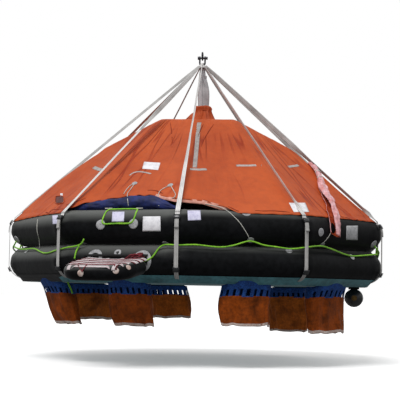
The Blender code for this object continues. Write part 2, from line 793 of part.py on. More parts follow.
def boarding_ramp():
    hinge = ramp_matrix(RAMP_BEARING, 18.0, GAP + RAMP_BATTEN_RADIUS, RAMP_TILT)
    batten = cylinder("ramp_batten", RAMP_BATTEN_RADIUS, 0.70, Vector((0.0, 0.0, 0.0)),
                      x_axis_turn(), black_webbing, sides=12)
    batten.matrix_world = hinge @ batten.matrix_world

    mat_top = -RAMP_BATTEN_RADIUS - GAP
    mat_low = mat_top - RAMP_MAT_THICKNESS
    tube_level = mat_low - GAP - RAMP_TUBE_RADIUS
    corner = 0.13
    path = [Vector((RAMP_HALF_WIDTH, 0.04, tube_level))]
    for step in range(5):
        angle = math.radians(22.5 * step)
        path.append(Vector((RAMP_HALF_WIDTH - corner + corner * math.cos(angle),
                            RAMP_REACH - corner + corner * math.sin(angle), tube_level)))
    path += [Vector((-point.x, point.y, point.z)) for point in reversed(path)]
    ramp = tube_curve("ramp_tube", path, RAMP_TUBE_RADIUS, black_rubber, resolution=4)
    ramp.matrix_world = hinge

    half = RAMP_HALF_WIDTH + 0.03
    outline = [(half, 0.0), (half, RAMP_REACH - 0.10), (half - 0.11, RAMP_REACH + 0.03)]
    outline += [(-x, y) for x, y in reversed(outline)]
    middle = Matrix.Translation((0.0, 0.0, (mat_top + mat_low) / 2))
    flat_outline("ramp_mat", [outline], RAMP_MAT_THICKNESS, red_webbing, hinge @ middle)


def boarding_ladder():
    hinge = ramp_matrix(LADDER_BEARING, 0.0, GAP + LADDER_BATTEN_RADIUS, 0.0)
    batten = cylinder("ladder_batten", LADDER_BATTEN_RADIUS, 0.46, Vector((0.0, 0.0, 0.0)),
                      x_axis_turn(), black_webbing, sides=12)
    batten.matrix_world = hinge @ batten.matrix_world
    top = -LADDER_BATTEN_RADIUS - GAP
    low = top - LADDER_RUNG - LADDER_STEPS * (LADDER_STEP + LADDER_RUNG)
    half = LADDER_HALF_WIDTH
    outlines = [[(-half, top), (half, top), (half, low), (-half, low)]]
    for step in range(LADDER_STEPS):
        high = top - LADDER_RUNG - step * (LADDER_STEP + LADDER_RUNG)
        inner = half - LADDER_STRAP
        below = high - LADDER_STEP
        outlines.append([(-inner, high), (-inner, below), (inner, below), (inner, high)])
    upright = Matrix.Rotation(math.radians(90), 4, "X")
    flat_outline("boarding_ladder", outlines, LADDER_THICKNESS, white_webbing, hinge @ upright)


def rain_sleeve():
    lift = CANOPY_THICKNESS + SLEEVE_RADIUS + 0.002
    points = [canopy_point(place, share, lift) for place, share in SLEEVE_ROUTE]
    bearing = FIRST_CORNER + STEP_ANGLE * SLEEVE_END_SIDE
    middle = FIRST_CORNER + STEP_ANGLE * (math.floor(SLEEVE_END_SIDE) + 0.5)
    widen = 1.0 / math.cos(math.radians(bearing - middle))
    for angle in SLEEVE_ROUND_TUBE:
        turn = math.radians(angle)
        reach = TUBE_RADIUS + lift * 1.02
        radius = (RING_RADIUS * MITRE + reach * math.cos(turn)) * widen
        points.append(radial(bearing, radius, TUBE_HEIGHT + reach * math.sin(turn)))
    tube_curve("rain_sleeve", smooth_path(points, 3), SLEEVE_RADIUS, pink_fabric, resolution=3)


def smooth_path(points, cuts):
    # A curve through the points, read off between each pair of them.
    result = []
    for index in range(len(points) - 1):
        before = points[max(index - 1, 0)]
        start, end = points[index], points[index + 1]
        after = points[min(index + 2, len(points) - 1)]
        for cut in range(cuts):
            t = cut / cuts
            result.append(0.5 * (2 * start + (end - before) * t
                                 + (2 * before - 5 * start + 4 * end - after) * t ** 2
                                 + (3 * start - before - 3 * end + after) * t ** 3))
    result.append(points[-1])
    return result


clear_scene()
raft_parts = new_collection("davit_launched_life_raft")
cutters = new_collection("cutters")

black_rubber = make_material("black rubberised fabric", "1C1E20", 0.42)
orange_fabric = make_material("orange coated nylon", "C4552F", 0.62)
arch_fabric = make_material("orange arch fabric", "C4552F", 0.55)
pink_fabric = make_material("orange sleeve lining", "C9788A", 0.66)
navy_fabric = make_material("navy curtain nylon", "22306E", 0.70)
pocket_fabric = make_material("brown-orange pocket nylon", "9A4A24", 0.70)
floor_fabric = make_material("teal floor fabric", "1B4A5A", 0.55)
white_webbing = make_material("white polyester webbing", "D8D6D2", 0.80)
grey_webbing = make_material("grey polyester webbing", "B4B3B6", 0.80)
red_webbing = make_material("red and white ramp webbing", "C9A6A8", 0.80)
black_webbing = make_material("black webbing", "1A1A1C", 0.75)
forged_steel = make_material("forged galvanised steel", "3A3A3D", 0.48, metallic=1.0)
brass = make_material("valve brass", "8C6D3A", 0.40, metallic=1.0)
cylinder_paint = make_material("black cylinder paint", "161718", 0.35)

lifting_gear()
bridle_head()
bridle_legs()
inner_bridle()
tube_straps()
buoyancy_tube("upper_buoyancy_tube", upper=True)
buoyancy_tube("lower_buoyancy_tube", upper=False)
raft_floor()
canopy()
canopy_collar()
arches()
curtain_rolls()
rain_sleeve()
ballast_pockets()
gas_cylinder()
boarding_ramp()
boarding_ladder()
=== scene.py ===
# Davit-launched life raft: finishes, soft goods, rigging and trim around its fixed frame.
# Metres, +Z up. The raft hangs from the origin; its boarding ramp is on the -Y side.
import json
import math

import bpy
import numpy as np
from mathutils import Matrix, Vector, noise
from mathutils.bvhtree import BVHTree

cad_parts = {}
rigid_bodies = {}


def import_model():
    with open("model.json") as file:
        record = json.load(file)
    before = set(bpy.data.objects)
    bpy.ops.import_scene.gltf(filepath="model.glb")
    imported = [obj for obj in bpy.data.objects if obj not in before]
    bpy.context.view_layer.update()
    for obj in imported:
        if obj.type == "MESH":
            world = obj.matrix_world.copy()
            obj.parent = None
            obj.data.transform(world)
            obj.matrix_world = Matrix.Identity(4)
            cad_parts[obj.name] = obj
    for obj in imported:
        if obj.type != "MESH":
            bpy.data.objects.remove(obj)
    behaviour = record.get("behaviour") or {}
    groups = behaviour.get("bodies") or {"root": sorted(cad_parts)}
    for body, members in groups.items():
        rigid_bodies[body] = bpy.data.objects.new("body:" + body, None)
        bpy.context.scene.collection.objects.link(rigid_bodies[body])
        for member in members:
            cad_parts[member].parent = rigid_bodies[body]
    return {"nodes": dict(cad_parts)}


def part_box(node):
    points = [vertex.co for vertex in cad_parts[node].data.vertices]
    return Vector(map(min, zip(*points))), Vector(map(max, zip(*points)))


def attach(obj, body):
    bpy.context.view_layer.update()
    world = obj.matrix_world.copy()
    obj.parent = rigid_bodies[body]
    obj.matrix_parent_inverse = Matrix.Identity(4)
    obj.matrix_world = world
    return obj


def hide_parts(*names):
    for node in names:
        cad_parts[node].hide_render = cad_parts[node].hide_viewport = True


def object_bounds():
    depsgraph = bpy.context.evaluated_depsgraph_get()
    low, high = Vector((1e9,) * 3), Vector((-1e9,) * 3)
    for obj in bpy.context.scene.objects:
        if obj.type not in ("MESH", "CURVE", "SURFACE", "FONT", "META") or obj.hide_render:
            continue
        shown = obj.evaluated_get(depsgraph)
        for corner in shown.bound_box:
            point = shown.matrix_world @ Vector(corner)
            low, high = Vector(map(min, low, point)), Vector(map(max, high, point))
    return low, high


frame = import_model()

# Blender's noise vectors differ from run to run unless they are seeded; this seed gives the collar its crumples.
noise.seed_set(1795829300)

cadLow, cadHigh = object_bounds()
cadNodes = frame["nodes"]
print("frame loaded:", len(cadNodes), "nodes")

# The ring of tubes, measured on the frame. A place counts sides round the ring from the corner over -Y.
ringSides = 10
upperLow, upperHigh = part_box("upper_buoyancy_tube")
lowerLow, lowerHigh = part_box("lower_buoyancy_tube")
mitre = math.cos(math.pi / ringSides)
tubeRadius = (upperHigh.z - upperLow.z) / 2
upperZ = (upperHigh.z + upperLow.z) / 2
lowerZ = (lowerHigh.z + lowerLow.z) / 2
seamZ = (upperZ + lowerZ) / 2
ringRadius = -upperLow.y - tubeRadius / mitre
sideLength = 2 * ringRadius * math.sin(math.pi / ringSides)

# Camera at the photograph's place, aimed and rolled in degrees

cameraView = {"azimuth": 6.0, "distance": 14.5, "belowSeam": 0.46, "pitch": 4.08, "roll": 1.0, "lens": 116.0,
              "sensor": 36.0, "pictureSide": 400}


def makeCamera(view):
    azimuth, pitch, roll = (math.radians(view[key]) for key in ("azimuth", "pitch", "roll"))
    right = Vector((math.cos(azimuth), math.sin(azimuth), 0))
    ahead = Vector((-math.sin(azimuth) * math.cos(pitch), math.cos(azimuth) * math.cos(pitch), math.sin(pitch)))
    up = right.cross(ahead)
    axes = Matrix((right * math.cos(roll) + up * math.sin(roll), up * math.cos(roll) - right * math.sin(roll),
                   -ahead)).transposed()
    place = Vector((view["distance"] * math.sin(azimuth), -view["distance"] * math.cos(azimuth),
                    seamZ - view["belowSeam"]))
    camera = bpy.data.objects.new("camera", bpy.data.cameras.new("camera"))
    camera.data.lens = view["lens"]
    camera.data.sensor_width = view["sensor"]
    camera.data.clip_end = 200.0
    camera.matrix_world = Matrix.Translation(place) @ axes.to_4x4()
    bpy.context.scene.collection.objects.link(camera)
    bpy.context.scene.camera = camera
    return place, axes


cameraPlace, cameraAxes = makeCamera(cameraView)


def pixelRay(x, y):
    half = cameraView["pictureSide"] / 2
    focal = cameraView["lens"] / cameraView["sensor"] * cameraView["pictureSide"]
    return (cameraAxes @ Vector((x - half, half - y, -focal))).normalized()


# Colour and node helpers

def linearColour(hexColour):
    channels = [int(hexColour[i:i + 2], 16) / 255 for i in (1, 3, 5)]
    return (*[c / 12.92 if c <= 0.04045 else ((c + 0.055) / 1.055) ** 2.4 for c in channels], 1.0)


def addNode(tree, kind, settings=None, links=None, **fields):
    node = tree.nodes.new("ShaderNode" + kind)
    for key, value in fields.items():
        setattr(node, key, value)
    for key, value in (settings or {}).items():
        node.inputs[key].default_value = value
    for key, source in (links or {}).items():
        tree.links.new(source, node.inputs[key])
    return node


def newMaterial(name, roughness, **sockets):
    material = bpy.data.materials.new(name)
    material.use_nodes = True
    tree = material.node_tree
    shader = tree.nodes["Principled BSDF"]
    for key, value in {"Roughness": roughness, **sockets}.items():
        shader.inputs[key.replace("_", " ")].default_value = value
    return material, tree, shader, addNode(tree, "TexCoord")


def waveScale(millimetres):
    # A wave texture's bands repeat every 2 pi / 20 of its scaled coordinate.
    return 2 * math.pi / 20 / (millimetres / 1000)


def mottled(tree, coords, shade, face, sizeMm, detail, rough, top):
    # Two near tones meet in soft blotches.
    blotch = addNode(tree, "TexNoise", {"Scale": 1000 / sizeMm, "Detail": detail, "Roughness": rough},
                     {"Vector": coords.outputs["Object"]})
    share = addNode(tree, "MapRange", {"From Min": 0.30, "From Max": top}, {"Value": blotch.outputs["Fac"]})
    return blotch, addNode(tree, "Mix", {6: linearColour(shade), 7: linearColour(face)},
                           {0: share.outputs["Result"]}, data_type="RGBA")


def darkened(tree, colour, value, low, high, tone):
    # Multiplies a colour by a tone where a value is low.
    share = addNode(tree, "MapRange", {"From Min": low, "From Max": high}, {"Value": value})
    shade = addNode(tree, "Mix", {6: linearColour(tone), 7: linearColour("#FFFFFF")}, {0: share.outputs["Result"]},
                    data_type="RGBA")
    return addNode(tree, "Mix", {0: 1.0}, {6: colour.outputs[2], 7: shade.outputs[2]}, data_type="RGBA",
                   blend_type="MULTIPLY")


# Coated nylon and rubberised cloth: a plain weave under a skin of polyurethane or chloroprene. The skin gives a
# satin gloss, the weave a faint grain, and handling leaves soft creases, dust and sun-bleached areas; the dust's
# grey is partly painted top light, and long folds carry painted shade in their valleys.

def coatedCloth(name, face, shade, roughness, sizesMm, stretch, gloss, strength=0.5, speck="#D8D8D8", sheen=0.0,
                dustAndPaintedLight=None, folds=None):
    weaveMm, grainMm, blotchMm, creaseMm = sizesMm
    material, tree, shader, coords = newMaterial(name, roughness, Sheen_Weight=sheen, Sheen_Roughness=0.3,
                                                 Specular_IOR_Level=gloss)
    _, colour = mottled(tree, coords, shade, face, blotchMm, 5.0, 0.62, 0.62)
    grain = addNode(tree, "TexNoise", {"Scale": 1000 / grainMm, "Detail": 3.0}, {"Vector": coords.outputs["Object"]})
    colour = darkened(tree, colour, grain.outputs["Fac"], 0.32, 0.60, speck)
    # Grey where the normal turns up and to the left: partly dust, partly painted top light.
    if dustAndPaintedLight:
        tone, most, dustAndLightSide = dustAndPaintedLight
        facing = addNode(tree, "VectorMath", {1: dustAndLightSide}, {0: coords.outputs["Normal"]}, operation="DOT_PRODUCT")
        dustAndLightShare = addNode(tree, "MapRange", {"From Min": 0.30, "From Max": 1.0, "To Max": most},
                       {"Value": facing.outputs["Value"]}, interpolation_type="SMOOTHSTEP")
        colour = addNode(tree, "Mix", {7: linearColour(tone)}, {0: dustAndLightShare.outputs["Result"], 6: colour.outputs[2]},
                         data_type="RGBA")
    rough = addNode(tree, "MapRange", {"To Min": roughness - 0.08, "To Max": roughness + 0.1},
                    {"Value": grain.outputs["Fac"]})
    tree.links.new(rough.outputs["Result"], shader.inputs["Roughness"])
    # The real thread spacing is under a millimetre; it is drawn coarser so that it shows.
    warp, weft = (addNode(tree, "TexWave", {"Scale": waveScale(weaveMm), "Distortion": 0.6},
                          {"Vector": coords.outputs["UV"]}, bands_direction=axis) for axis in "XY")
    weave = addNode(tree, "Math", links={0: warp.outputs["Fac"], 1: weft.outputs["Fac"]}, operation="MULTIPLY")
    threads = addNode(tree, "Bump", {"Strength": 0.12, "Distance": weaveMm * 0.00006},
                      {"Height": weave.outputs["Value"]})
    stretched = addNode(tree, "Mapping", {"Scale": (1.0, stretch, 1.0)}, {"Vector": coords.outputs["UV"]})
    crease = addNode(tree, "TexNoise", {"Scale": 1000 / creaseMm, "Detail": 4.0, "Distortion": 0.8},
                     {"Vector": stretched.outputs["Vector"]})
    skin = addNode(tree, "Bump", {"Strength": strength, "Distance": creaseMm * 0.00012},
                   {"Height": crease.outputs["Fac"], "Normal": threads.outputs["Normal"]})
    if folds:
        colour, skin = longFolds(tree, folds, coords, colour, skin)
    tree.links.new(colour.outputs[2], shader.inputs["Base Color"])
    tree.links.new(skin.outputs["Normal"], shader.inputs["Normal"])
    return material


def longFolds(tree, folds, coords, colour, under):
    # Creases that run up the cloth, here and there: soft valleys where a stretched noise crosses its middle.
    # The valleys are bumped, and darkened by the fold tone as painted shade.
    foldMm, stretch, tone = folds
    placed = addNode(tree, "Mapping", {"Scale": (1000 / foldMm, 1000 / foldMm / stretch, 1.0)},
                     {"Vector": coords.outputs["UV"]})
    field = addNode(tree, "TexNoise", {"Scale": 1.0, "Detail": 1.0, "Distortion": 0.3},
                    {"Vector": placed.outputs["Vector"]})
    middle = addNode(tree, "Math", {1: 0.5}, {0: field.outputs["Fac"]}, operation="SUBTRACT")
    away = addNode(tree, "Math", links={0: middle.outputs["Value"]}, operation="ABSOLUTE")
    valley = addNode(tree, "MapRange", {"From Max": 0.05}, {"Value": away.outputs["Value"]},
                     interpolation_type="SMOOTHSTEP")
    where = addNode(tree, "TexNoise", {"Scale": 1.3, "Detail": 1.0}, {"Vector": coords.outputs["Object"]})
    gate = addNode(tree, "MapRange", {"From Min": 0.40, "From Max": 0.60}, {"Value": where.outputs["Fac"]},
                   interpolation_type="SMOOTHSTEP")
    flat = addNode(tree, "Mix", {2: 1.0}, {0: gate.outputs["Result"], 3: valley.outputs["Result"]},
                   data_type="FLOAT")
    relief = addNode(tree, "Bump", {"Strength": 0.8, "Distance": foldMm * 0.00005},
                     {"Height": flat.outputs[0], "Normal": under.outputs["Normal"]})
    return darkened(tree, colour, flat.outputs[0], 0.0, 1.0, tone), relief


# Polyester webbing: ribs across the strap, two sewn guide lines near its edges, and darker valleys between ribs.
# Real ribs are 2 mm apart; they are drawn coarser so that they show.

def wovenWebbing(name, face, shade, roughness, ribMm, lineMm, blotchMm, ribDark="#C4C4C4"):
    material, tree, shader, coords = newMaterial(name, roughness, Sheen_Weight=0.15, Specular_IOR_Level=0.3)
    _, colour = mottled(tree, coords, shade, face, blotchMm, 5.0, 0.6, 0.60)
    rib, line = (addNode(tree, "TexWave", {"Scale": waveScale(size)}, {"Vector": coords.outputs["UV"]},
                         bands_direction=axis) for size, axis in ((ribMm, "X"), (lineMm, "Y")))
    colour = darkened(tree, colour, rib.outputs["Fac"], 0.1, 0.6, ribDark)
    colour = darkened(tree, colour, line.outputs["Fac"], 0.05, 0.35, "#D0D0D0")
    tree.links.new(colour.outputs[2], shader.inputs["Base Color"])
    ribs = addNode(tree, "Bump", {"Strength": 0.5, "Distance": ribMm * 0.00012}, {"Height": rib.outputs["Fac"]})
    lines = addNode(tree, "Bump", {"Strength": 0.3, "Distance": 0.0008},
                    {"Height": line.outputs["Fac"], "Normal": ribs.outputs["Normal"]})
    tree.links.new(lines.outputs["Normal"], shader.inputs["Normal"])
    return material


# Smooth goods, such as tape, vinyl, paint and metal: an even colour with scuffs and fine grain. Prismatic tape has
# a honeycomb of cells under its clear face, drawn coarser than real.

def smoothFinish(name, face, shade, roughness, scuffMm, metallic=0.0, coat=0.0, cellMm=None):
    material, tree, shader, coords = newMaterial(name, roughness, Metallic=metallic, Coat_Weight=coat)
    scuff, colour = mottled(tree, coords, shade, face, scuffMm, 6.0, 0.7, 0.55)
    tree.links.new(colour.outputs[2], shader.inputs["Base Color"])
    rough = addNode(tree, "MapRange", {"To Min": roughness + 0.12, "To Max": roughness - 0.08},
                    {"Value": scuff.outputs["Fac"]})
    tree.links.new(rough.outputs["Result"], shader.inputs["Roughness"])
    if cellMm:
        cell = addNode(tree, "TexVoronoi", {"Scale": 1000 / cellMm}, {"Vector": coords.outputs["UV"]})
        relief = addNode(tree, "Bump", {"Strength": 0.35, "Distance": cellMm * 0.0001},
                         {"Height": cell.outputs["Distance"]})
    else:
        grain = addNode(tree, "TexNoise", {"Scale": 5000 / scuffMm, "Detail": 3.0},
                        {"Vector": coords.outputs["Object"]})
        relief = addNode(tree, "Bump", {"Strength": 0.2, "Distance": scuffMm * 0.00002},
                         {"Height": grain.outputs["Fac"]})
    tree.links.new(relief.outputs["Normal"], shader.inputs["Normal"])
    return material


# Cloth: face and shade, roughness, sizes of weave, grain, blotches and creases in mm, the creases' stretch, the
# gloss and the creases' strength. Folds have their own size and a tone of painted shade; the grey of dust and
# painted top light has its own share and tone.

# Satin orange, sun-bleached in places, with long soft folds whose valleys are darkened as painted shade.
orangeNylon = coatedCloth("orangeCoatedNylon", "#BE5628", "#A9461F", 0.58, (9, 60, 520, 200), 0.14, 0.22, 0.25,
                          "#F4F2F0", folds=(210, 8.0, "#DAB4A4"))
# Flat salmon pink, then a limp, crumpled pink and its red inside.
liningNylon = coatedCloth("salmonLiningNylon", "#DEA596", "#C4826E", 0.62, (9, 30, 300, 60), 0.3, 0.3)
sleeveNylon = coatedCloth("pinkSleeveNylon", "#E4B4B9", "#D07E78", 0.5, (8, 20, 90, 40), 0.4, 0.4, 0.7)
sleeveDark = coatedCloth("redSleeveInside", "#C8552C", "#8E2A18", 0.6, (8, 20, 60, 30), 0.4, 0.3)
# Dark red painted shade for the tucks, where the cloth doubles over.
tuckShadeNylon = coatedCloth("paintedTuckShadeNylon", "#8E3018", "#6A2010", 0.65, (9, 30, 120, 60), 0.3, 0.15)
# Deep navy with small creases.
navyNylon = coatedCloth("navyCurtainNylon", "#1A2A6C", "#0B1132", 0.6, (8, 24, 150, 45), 0.5, 0.35, 0.6)
# Dull black rubber; grey on the faces that look up and to the left is partly dust, partly painted top light.
blackRubber = coatedCloth("blackRubberisedCloth", "#161719", "#0C0D0E", 0.46, (9, 50, 500, 120), 0.6, 0.06, 0.22,
                          "#C8C8C8", sheen=0.13, dustAndPaintedLight=("#7C7E7B", 0.62, (-0.48, 0.0, 0.90)))
# Smooth blue-green sheet.
tealRubber = coatedCloth("tealFloorCloth", "#5A98A2", "#3E6E76", 0.5, (9, 30, 260, 90), 0.5, 0.4)
# Wet brown-orange; the far bags take a lighter copy, painted light as if light came through their single cloth.
pocketNylon = coatedCloth("wetBrownOrangeNylon", "#A64C0E", "#5E2A06", 0.6, (8, 26, 160, 38), 0.12, 0.15, 0.7)
paintedLightPocketNylon = coatedCloth("paintedLightBrownOrangeNylon", "#D06C20", "#7E3C10", 0.6, (8, 26, 160, 38), 0.12, 0.15,
                             0.7)
# Coarse blue mesh, pale folded tape and grey patches.
blueNet = coatedCloth("blueKnittedNet", "#295AA8", "#193E7A", 0.7, (14, 12, 60, 30), 0.4, 0.25, 0.8, "#7A8AA8")
hemNylon = coatedCloth("paleHemTapeNylon", "#D8CAC3", "#B89A8E", 0.7, (8, 16, 70, 30), 0.4, 0.25)
patchRubber = coatedCloth("greyPatchRubber", "#B4B4B6", "#8E8F92", 0.55, (8, 14, 60, 50), 0.3, 0.35)

# Webbing and rope: face and shade, roughness, rib, line and blotch sizes in mm, and the valleys' tone

# Clean white straps, the same ones greyed as painted shade, and the grey inner ones.
whiteWebbing = wovenWebbing("whitePolyesterWebbing", "#F2F0EE", "#DAD7D5", 0.8, 9, 16, 180, "#D8D8D8")
paintedShadeWebbing = wovenWebbing("paintedShadePolyesterWebbing", "#C6C4C2", "#A6A4A2", 0.84, 9, 16, 180, "#D8D8D8")
greyWebbing = wovenWebbing("greyPolyesterWebbing", "#E6E5E8", "#BDBCBF", 0.82, 9, 16, 140)
# Black lashings, and the ramp's red and pale pink stripes.
blackWebbing = wovenWebbing("blackPolyesterWebbing", "#202022", "#121214", 0.75, 8, 14, 120)
redWebbing = wovenWebbing("redRampWebbing", "#B23A48", "#8A2634", 0.75, 8, 14, 120)
pinkWebbing = wovenWebbing("palePinkRampWebbing", "#E8DEDF", "#CDB9BC", 0.8, 8, 14, 90)
# Bright lime lifeline, off-white cord and dark red lacing.
limeRope = wovenWebbing("limeBraidedRope", "#A6E83C", "#7DC62C", 0.6, 14, 12, 90, "#A9C49A")
paleCord = wovenWebbing("palePolyesterCord", "#EAE8E0", "#C4C2B8", 0.7, 10, 9, 60)
redRope = wovenWebbing("darkRedBraidedRope", "#8A1C2C", "#48101A", 0.65, 12, 12, 60)

# Silvery grey tape, blank label films, dark port film, rough-forged steel, dull brass and glossy black enamel.
reflectiveTape = smoothFinish("retroreflectiveTape", "#B9B2AE", "#8F8784", 0.38, 60, metallic=0.35, cellMm=12)
whiteVinyl = smoothFinish("whiteLabelVinyl", "#E9E8EC", "#C9C8CE", 0.42, 50)
blueVinyl = smoothFinish("paleBlueLabelVinyl", "#D2D0E6", "#A9A7C8", 0.42, 40)
portFilm = smoothFinish("darkPortFilm", "#5A1810", "#24100C", 0.55, 70)
forgedSteel = smoothFinish("forgedGalvanisedSteel", "#4A4A4E", "#232326", 0.42, 12, metallic=1.0)
valveBrass = smoothFinish("castValveBrass", "#6E5834", "#3F3220", 0.38, 14, metallic=1.0)
cylinderPaint = smoothFinish("blackCylinderEnamel", "#1B1C1E", "#2C2D30", 0.32, 90, coat=0.3)
print("materials made:", len(bpy.data.materials))


# Mesh helpers

def wander(*spot):
    return noise.noise(Vector(spot))


def unit(rows):
    rows = np.asarray(rows, dtype=float)
    return rows / np.linalg.norm(rows, axis=-1, keepdims=True)


def circle(count):
    return [2 * math.pi * step / count for step in range(count)]


def lengthsAlong(path):
    return np.concatenate([[0], np.cumsum(np.linalg.norm(np.diff(path, axis=0), axis=1))])


def makePiece(name, verts, faces, materials, faceMaterials=None, uvs=None, body="raft", slot=None, node=None):
    mesh = bpy.data.meshes.new(name)
    mesh.from_pydata([tuple(v) for v in verts], [], faces)
    for material in materials:
        mesh.materials.append(material)
    if faceMaterials is not None:
        mesh.polygons.foreach_set("material_index", np.asarray(faceMaterials, dtype=np.int32))
    if uvs is not None:
        layer = mesh.uv_layers.new(name="metres")
        layer.data.foreach_set("uv", np.asarray(uvs, dtype=np.float32).ravel())
    mesh.shade_smooth()
    mesh.update()
    return placePiece(name, mesh, body, slot, node)


def placePiece(name, mesh, body, slot=None, node=None):
    obj = bpy.data.objects.new(name, mesh)
    bpy.context.scene.collection.objects.link(obj)
    if body:
        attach(obj, body)
    if node:
        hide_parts(node)
    return obj


def gridPiece(name, points, materials, wrapU=False, wrapV=False, caps=False, choose=lambda i, j: 0, skip=None,
              **options):
    # points has the shape (rows, columns, 3); the UV map holds metres along the columns and the rows.
    points = np.asarray(points, dtype=float)
    rows, columns = points.shape[:2]
    closed = np.concatenate([points, points[:1]], axis=0) if wrapU else points
    if wrapV:
        closed = np.concatenate([closed, closed[:, :1]], axis=1)
    alongU, alongV = np.zeros(closed.shape[:2]), np.zeros(closed.shape[:2])
    alongU[1:] = np.cumsum(np.linalg.norm(np.diff(closed, axis=0), axis=2), axis=0)
    alongV[:, 1:] = np.cumsum(np.linalg.norm(np.diff(closed, axis=1), axis=2), axis=1)
    alongV -= alongV[:, -1:] / 2
    # One length for a whole row or column keeps the weave square.
    alongU = np.repeat(alongU.mean(axis=1, keepdims=True), closed.shape[1], axis=1)
    faces, uvs, chosen = [], [], []
    for i in range(closed.shape[0] - 1):
        for j in range(closed.shape[1] - 1):
            if skip is not None and skip(i, j):
                continue
            corners = ((i, j), (i + 1, j), (i + 1, j + 1), (i, j + 1))
            faces.append([(a % rows) * columns + b % columns for a, b in corners])
            uvs.extend((alongU[a, b], alongV[a, b]) for a, b in corners)
            chosen.append(choose(i, j))
    if caps:
        for row, order in ((0, 1), (rows - 1, -1)):
            faces.append([row * columns + j for j in range(columns)][::order])
            uvs.extend([(0.0, 0.0)] * columns)
            chosen.append(choose(min(row, rows - 2), 0))
    return makePiece(name, points.reshape(-1, 3), faces, materials, chosen, uvs, **options)


def thicken(obj, thickness, offset=0.0, **settings):
    modifier = obj.modifiers.new("thickness", "SOLIDIFY")
    for key, value in {"thickness": thickness, "offset": offset, **settings}.items():
        setattr(modifier, key, value)
    graph = bpy.context.evaluated_depsgraph_get()
    mesh = bpy.data.meshes.new_from_object(obj.evaluated_get(graph))
    old = obj.data
    obj.modifiers.clear()
    obj.data = mesh
    bpy.data.meshes.remove(old)
    return obj


def smoothPath(points, spacing):
    # A curve through the points, read off at even spacing.
    points = [Vector(p) for p in points]
    fine = []
    for i in range(len(points) - 1):
        before = points[i - 1] if i else points[0] * 2 - points[1]
        start, end = points[i], points[i + 1]
        after = points[i + 2] if i + 2 < len(points) else end * 2 - start
        for cut in range(16):
            t = cut / 16
            fine.append(0.5 * (2 * start + (end - before) * t + (2 * before - 5 * start + 4 * end - after) * t * t
                               + (3 * start - before - 3 * end + after) * t ** 3))
    fine = np.array(fine + [points[-1]])
    along = lengthsAlong(fine)
    at = np.linspace(0, along[-1], max(2, round(along[-1] / spacing) + 1))
    return np.stack([np.interp(at, along, fine[:, k]) for k in range(3)], axis=1)


def pathFrames(path, side=(0.0, 0.0, 1.0)):
    # A side vector carried along the path without twist.
    tangents = unit(np.gradient(path, axis=0))
    side = np.array(side, dtype=float)
    if abs(np.dot(side, tangents[0])) > 0.95:
        side = np.array((1.0, 0.0, 0.0))
    sides = []
    for tangent in tangents:
        side = unit(side - tangent * np.dot(side, tangent))
        sides.append(side)
    return np.array(sides), np.cross(tangents, sides)


thinLay = {"layLength": 0.03, "around": 8, "spacing": 0.010}


def ropePiece(name, points, radius, material, layLength=0.09, around=9, spacing=0.014, **options):
    # A laid rope: its three strands wind round the core, so the section is a rounded clover that turns.
    path = smoothPath(points, spacing)
    sides, ups = pathFrames(path)
    turn = 2 * np.pi * np.arange(len(path)) * spacing / layLength
    angles = np.array(circle(around))
    reach = radius * (0.93 + 0.07 * np.cos(3 * angles[None, :] - turn[:, None]))
    grid = path[:, None] + reach[..., None] * (np.cos(angles)[None, :, None] * sides[:, None]
                                               + np.sin(angles)[None, :, None] * ups[:, None])
    return gridPiece(name, grid, [material], wrapV=True, caps=True, **options), path


def strapPiece(name, path, across, width, thickness, material, **options):
    # Flat webbing with rounded edges. The width and its direction may change along the path.
    path = np.asarray(path, dtype=float)
    across = np.broadcast_to(np.asarray(across, dtype=float), path.shape)
    tangents = unit(np.gradient(path, axis=0))
    across = unit(across - tangents * np.sum(across * tangents, axis=1)[:, None])
    faceUp = np.cross(tangents, across)
    widths = np.broadcast_to(np.asarray(width, dtype=float), (len(path),))
    half = [(-0.5, 0.0), (-0.46, 0.35), (-0.25, 0.5), (0.0, 0.5), (0.25, 0.5), (0.46, 0.35)]
    section = half + [(-x, -y) for x, y in half]
    grid = np.stack([path + across * (x * widths)[:, None] + faceUp * (y * thickness) for x, y in section], axis=1)
    return gridPiece(name, grid, [material], wrapV=True, caps=True, **options)


def treeOf(obj):
    return BVHTree.FromObject(obj, bpy.context.evaluated_depsgraph_get())


# Ring and tube geometry

def cornerAt(index, radius):
    angle = math.radians(-90 + 360 / ringSides * index)
    return np.array((radius * math.cos(angle), radius * math.sin(angle)))


def cornerOutward(index):
    return np.array((*cornerAt(index, 1.0), 0.0))


def polygonPoint(place, radius=ringRadius):
    index = math.floor(place)
    share = place - index
    return cornerAt(index, radius) * (1 - share) + cornerAt(index + 1, radius) * share


def ringCentre(place, window=0.09):
    # The centre line is rounded at its corners by averaging it over a short window.
    return sum(polygonPoint(place + window * ((k + 0.5) / 8 - 0.5)) for k in range(8)) / 8


def ringOutward(place):
    ahead = unit(ringCentre(place + 0.004) - ringCentre(place - 0.004))
    return np.array((ahead[1], -ahead[0], 0.0))


def tubeSkin(place, degrees, lift=0.0, upper=True):
    # A point on a tube's skin: degrees count from straight out, up over the top.
    centre, outward = ringCentre(place), ringOutward(place)
    stretch = 1 + (1 / mitre - 1) * math.exp(-(abs(place - round(place)) / 0.06) ** 2)
    angle = math.radians(degrees)
    reach = (tubeRadius + lift) * math.cos(angle) * stretch
    height = (upperZ if upper else lowerZ) + (tubeRadius + lift) * math.sin(angle)
    return Vector((centre[0] + outward[0] * reach, centre[1] + outward[1] * reach, height))


buoyancyTube = {"lengthsPerSide": 26, "aroundSection": 56, "puckerDepth": 0.0045, "puckerReach": 0.09,
                "tealFrom": -52.0, "tealTo": -172.0, "unevenness": 0.0035, "seamDent": 0.004}


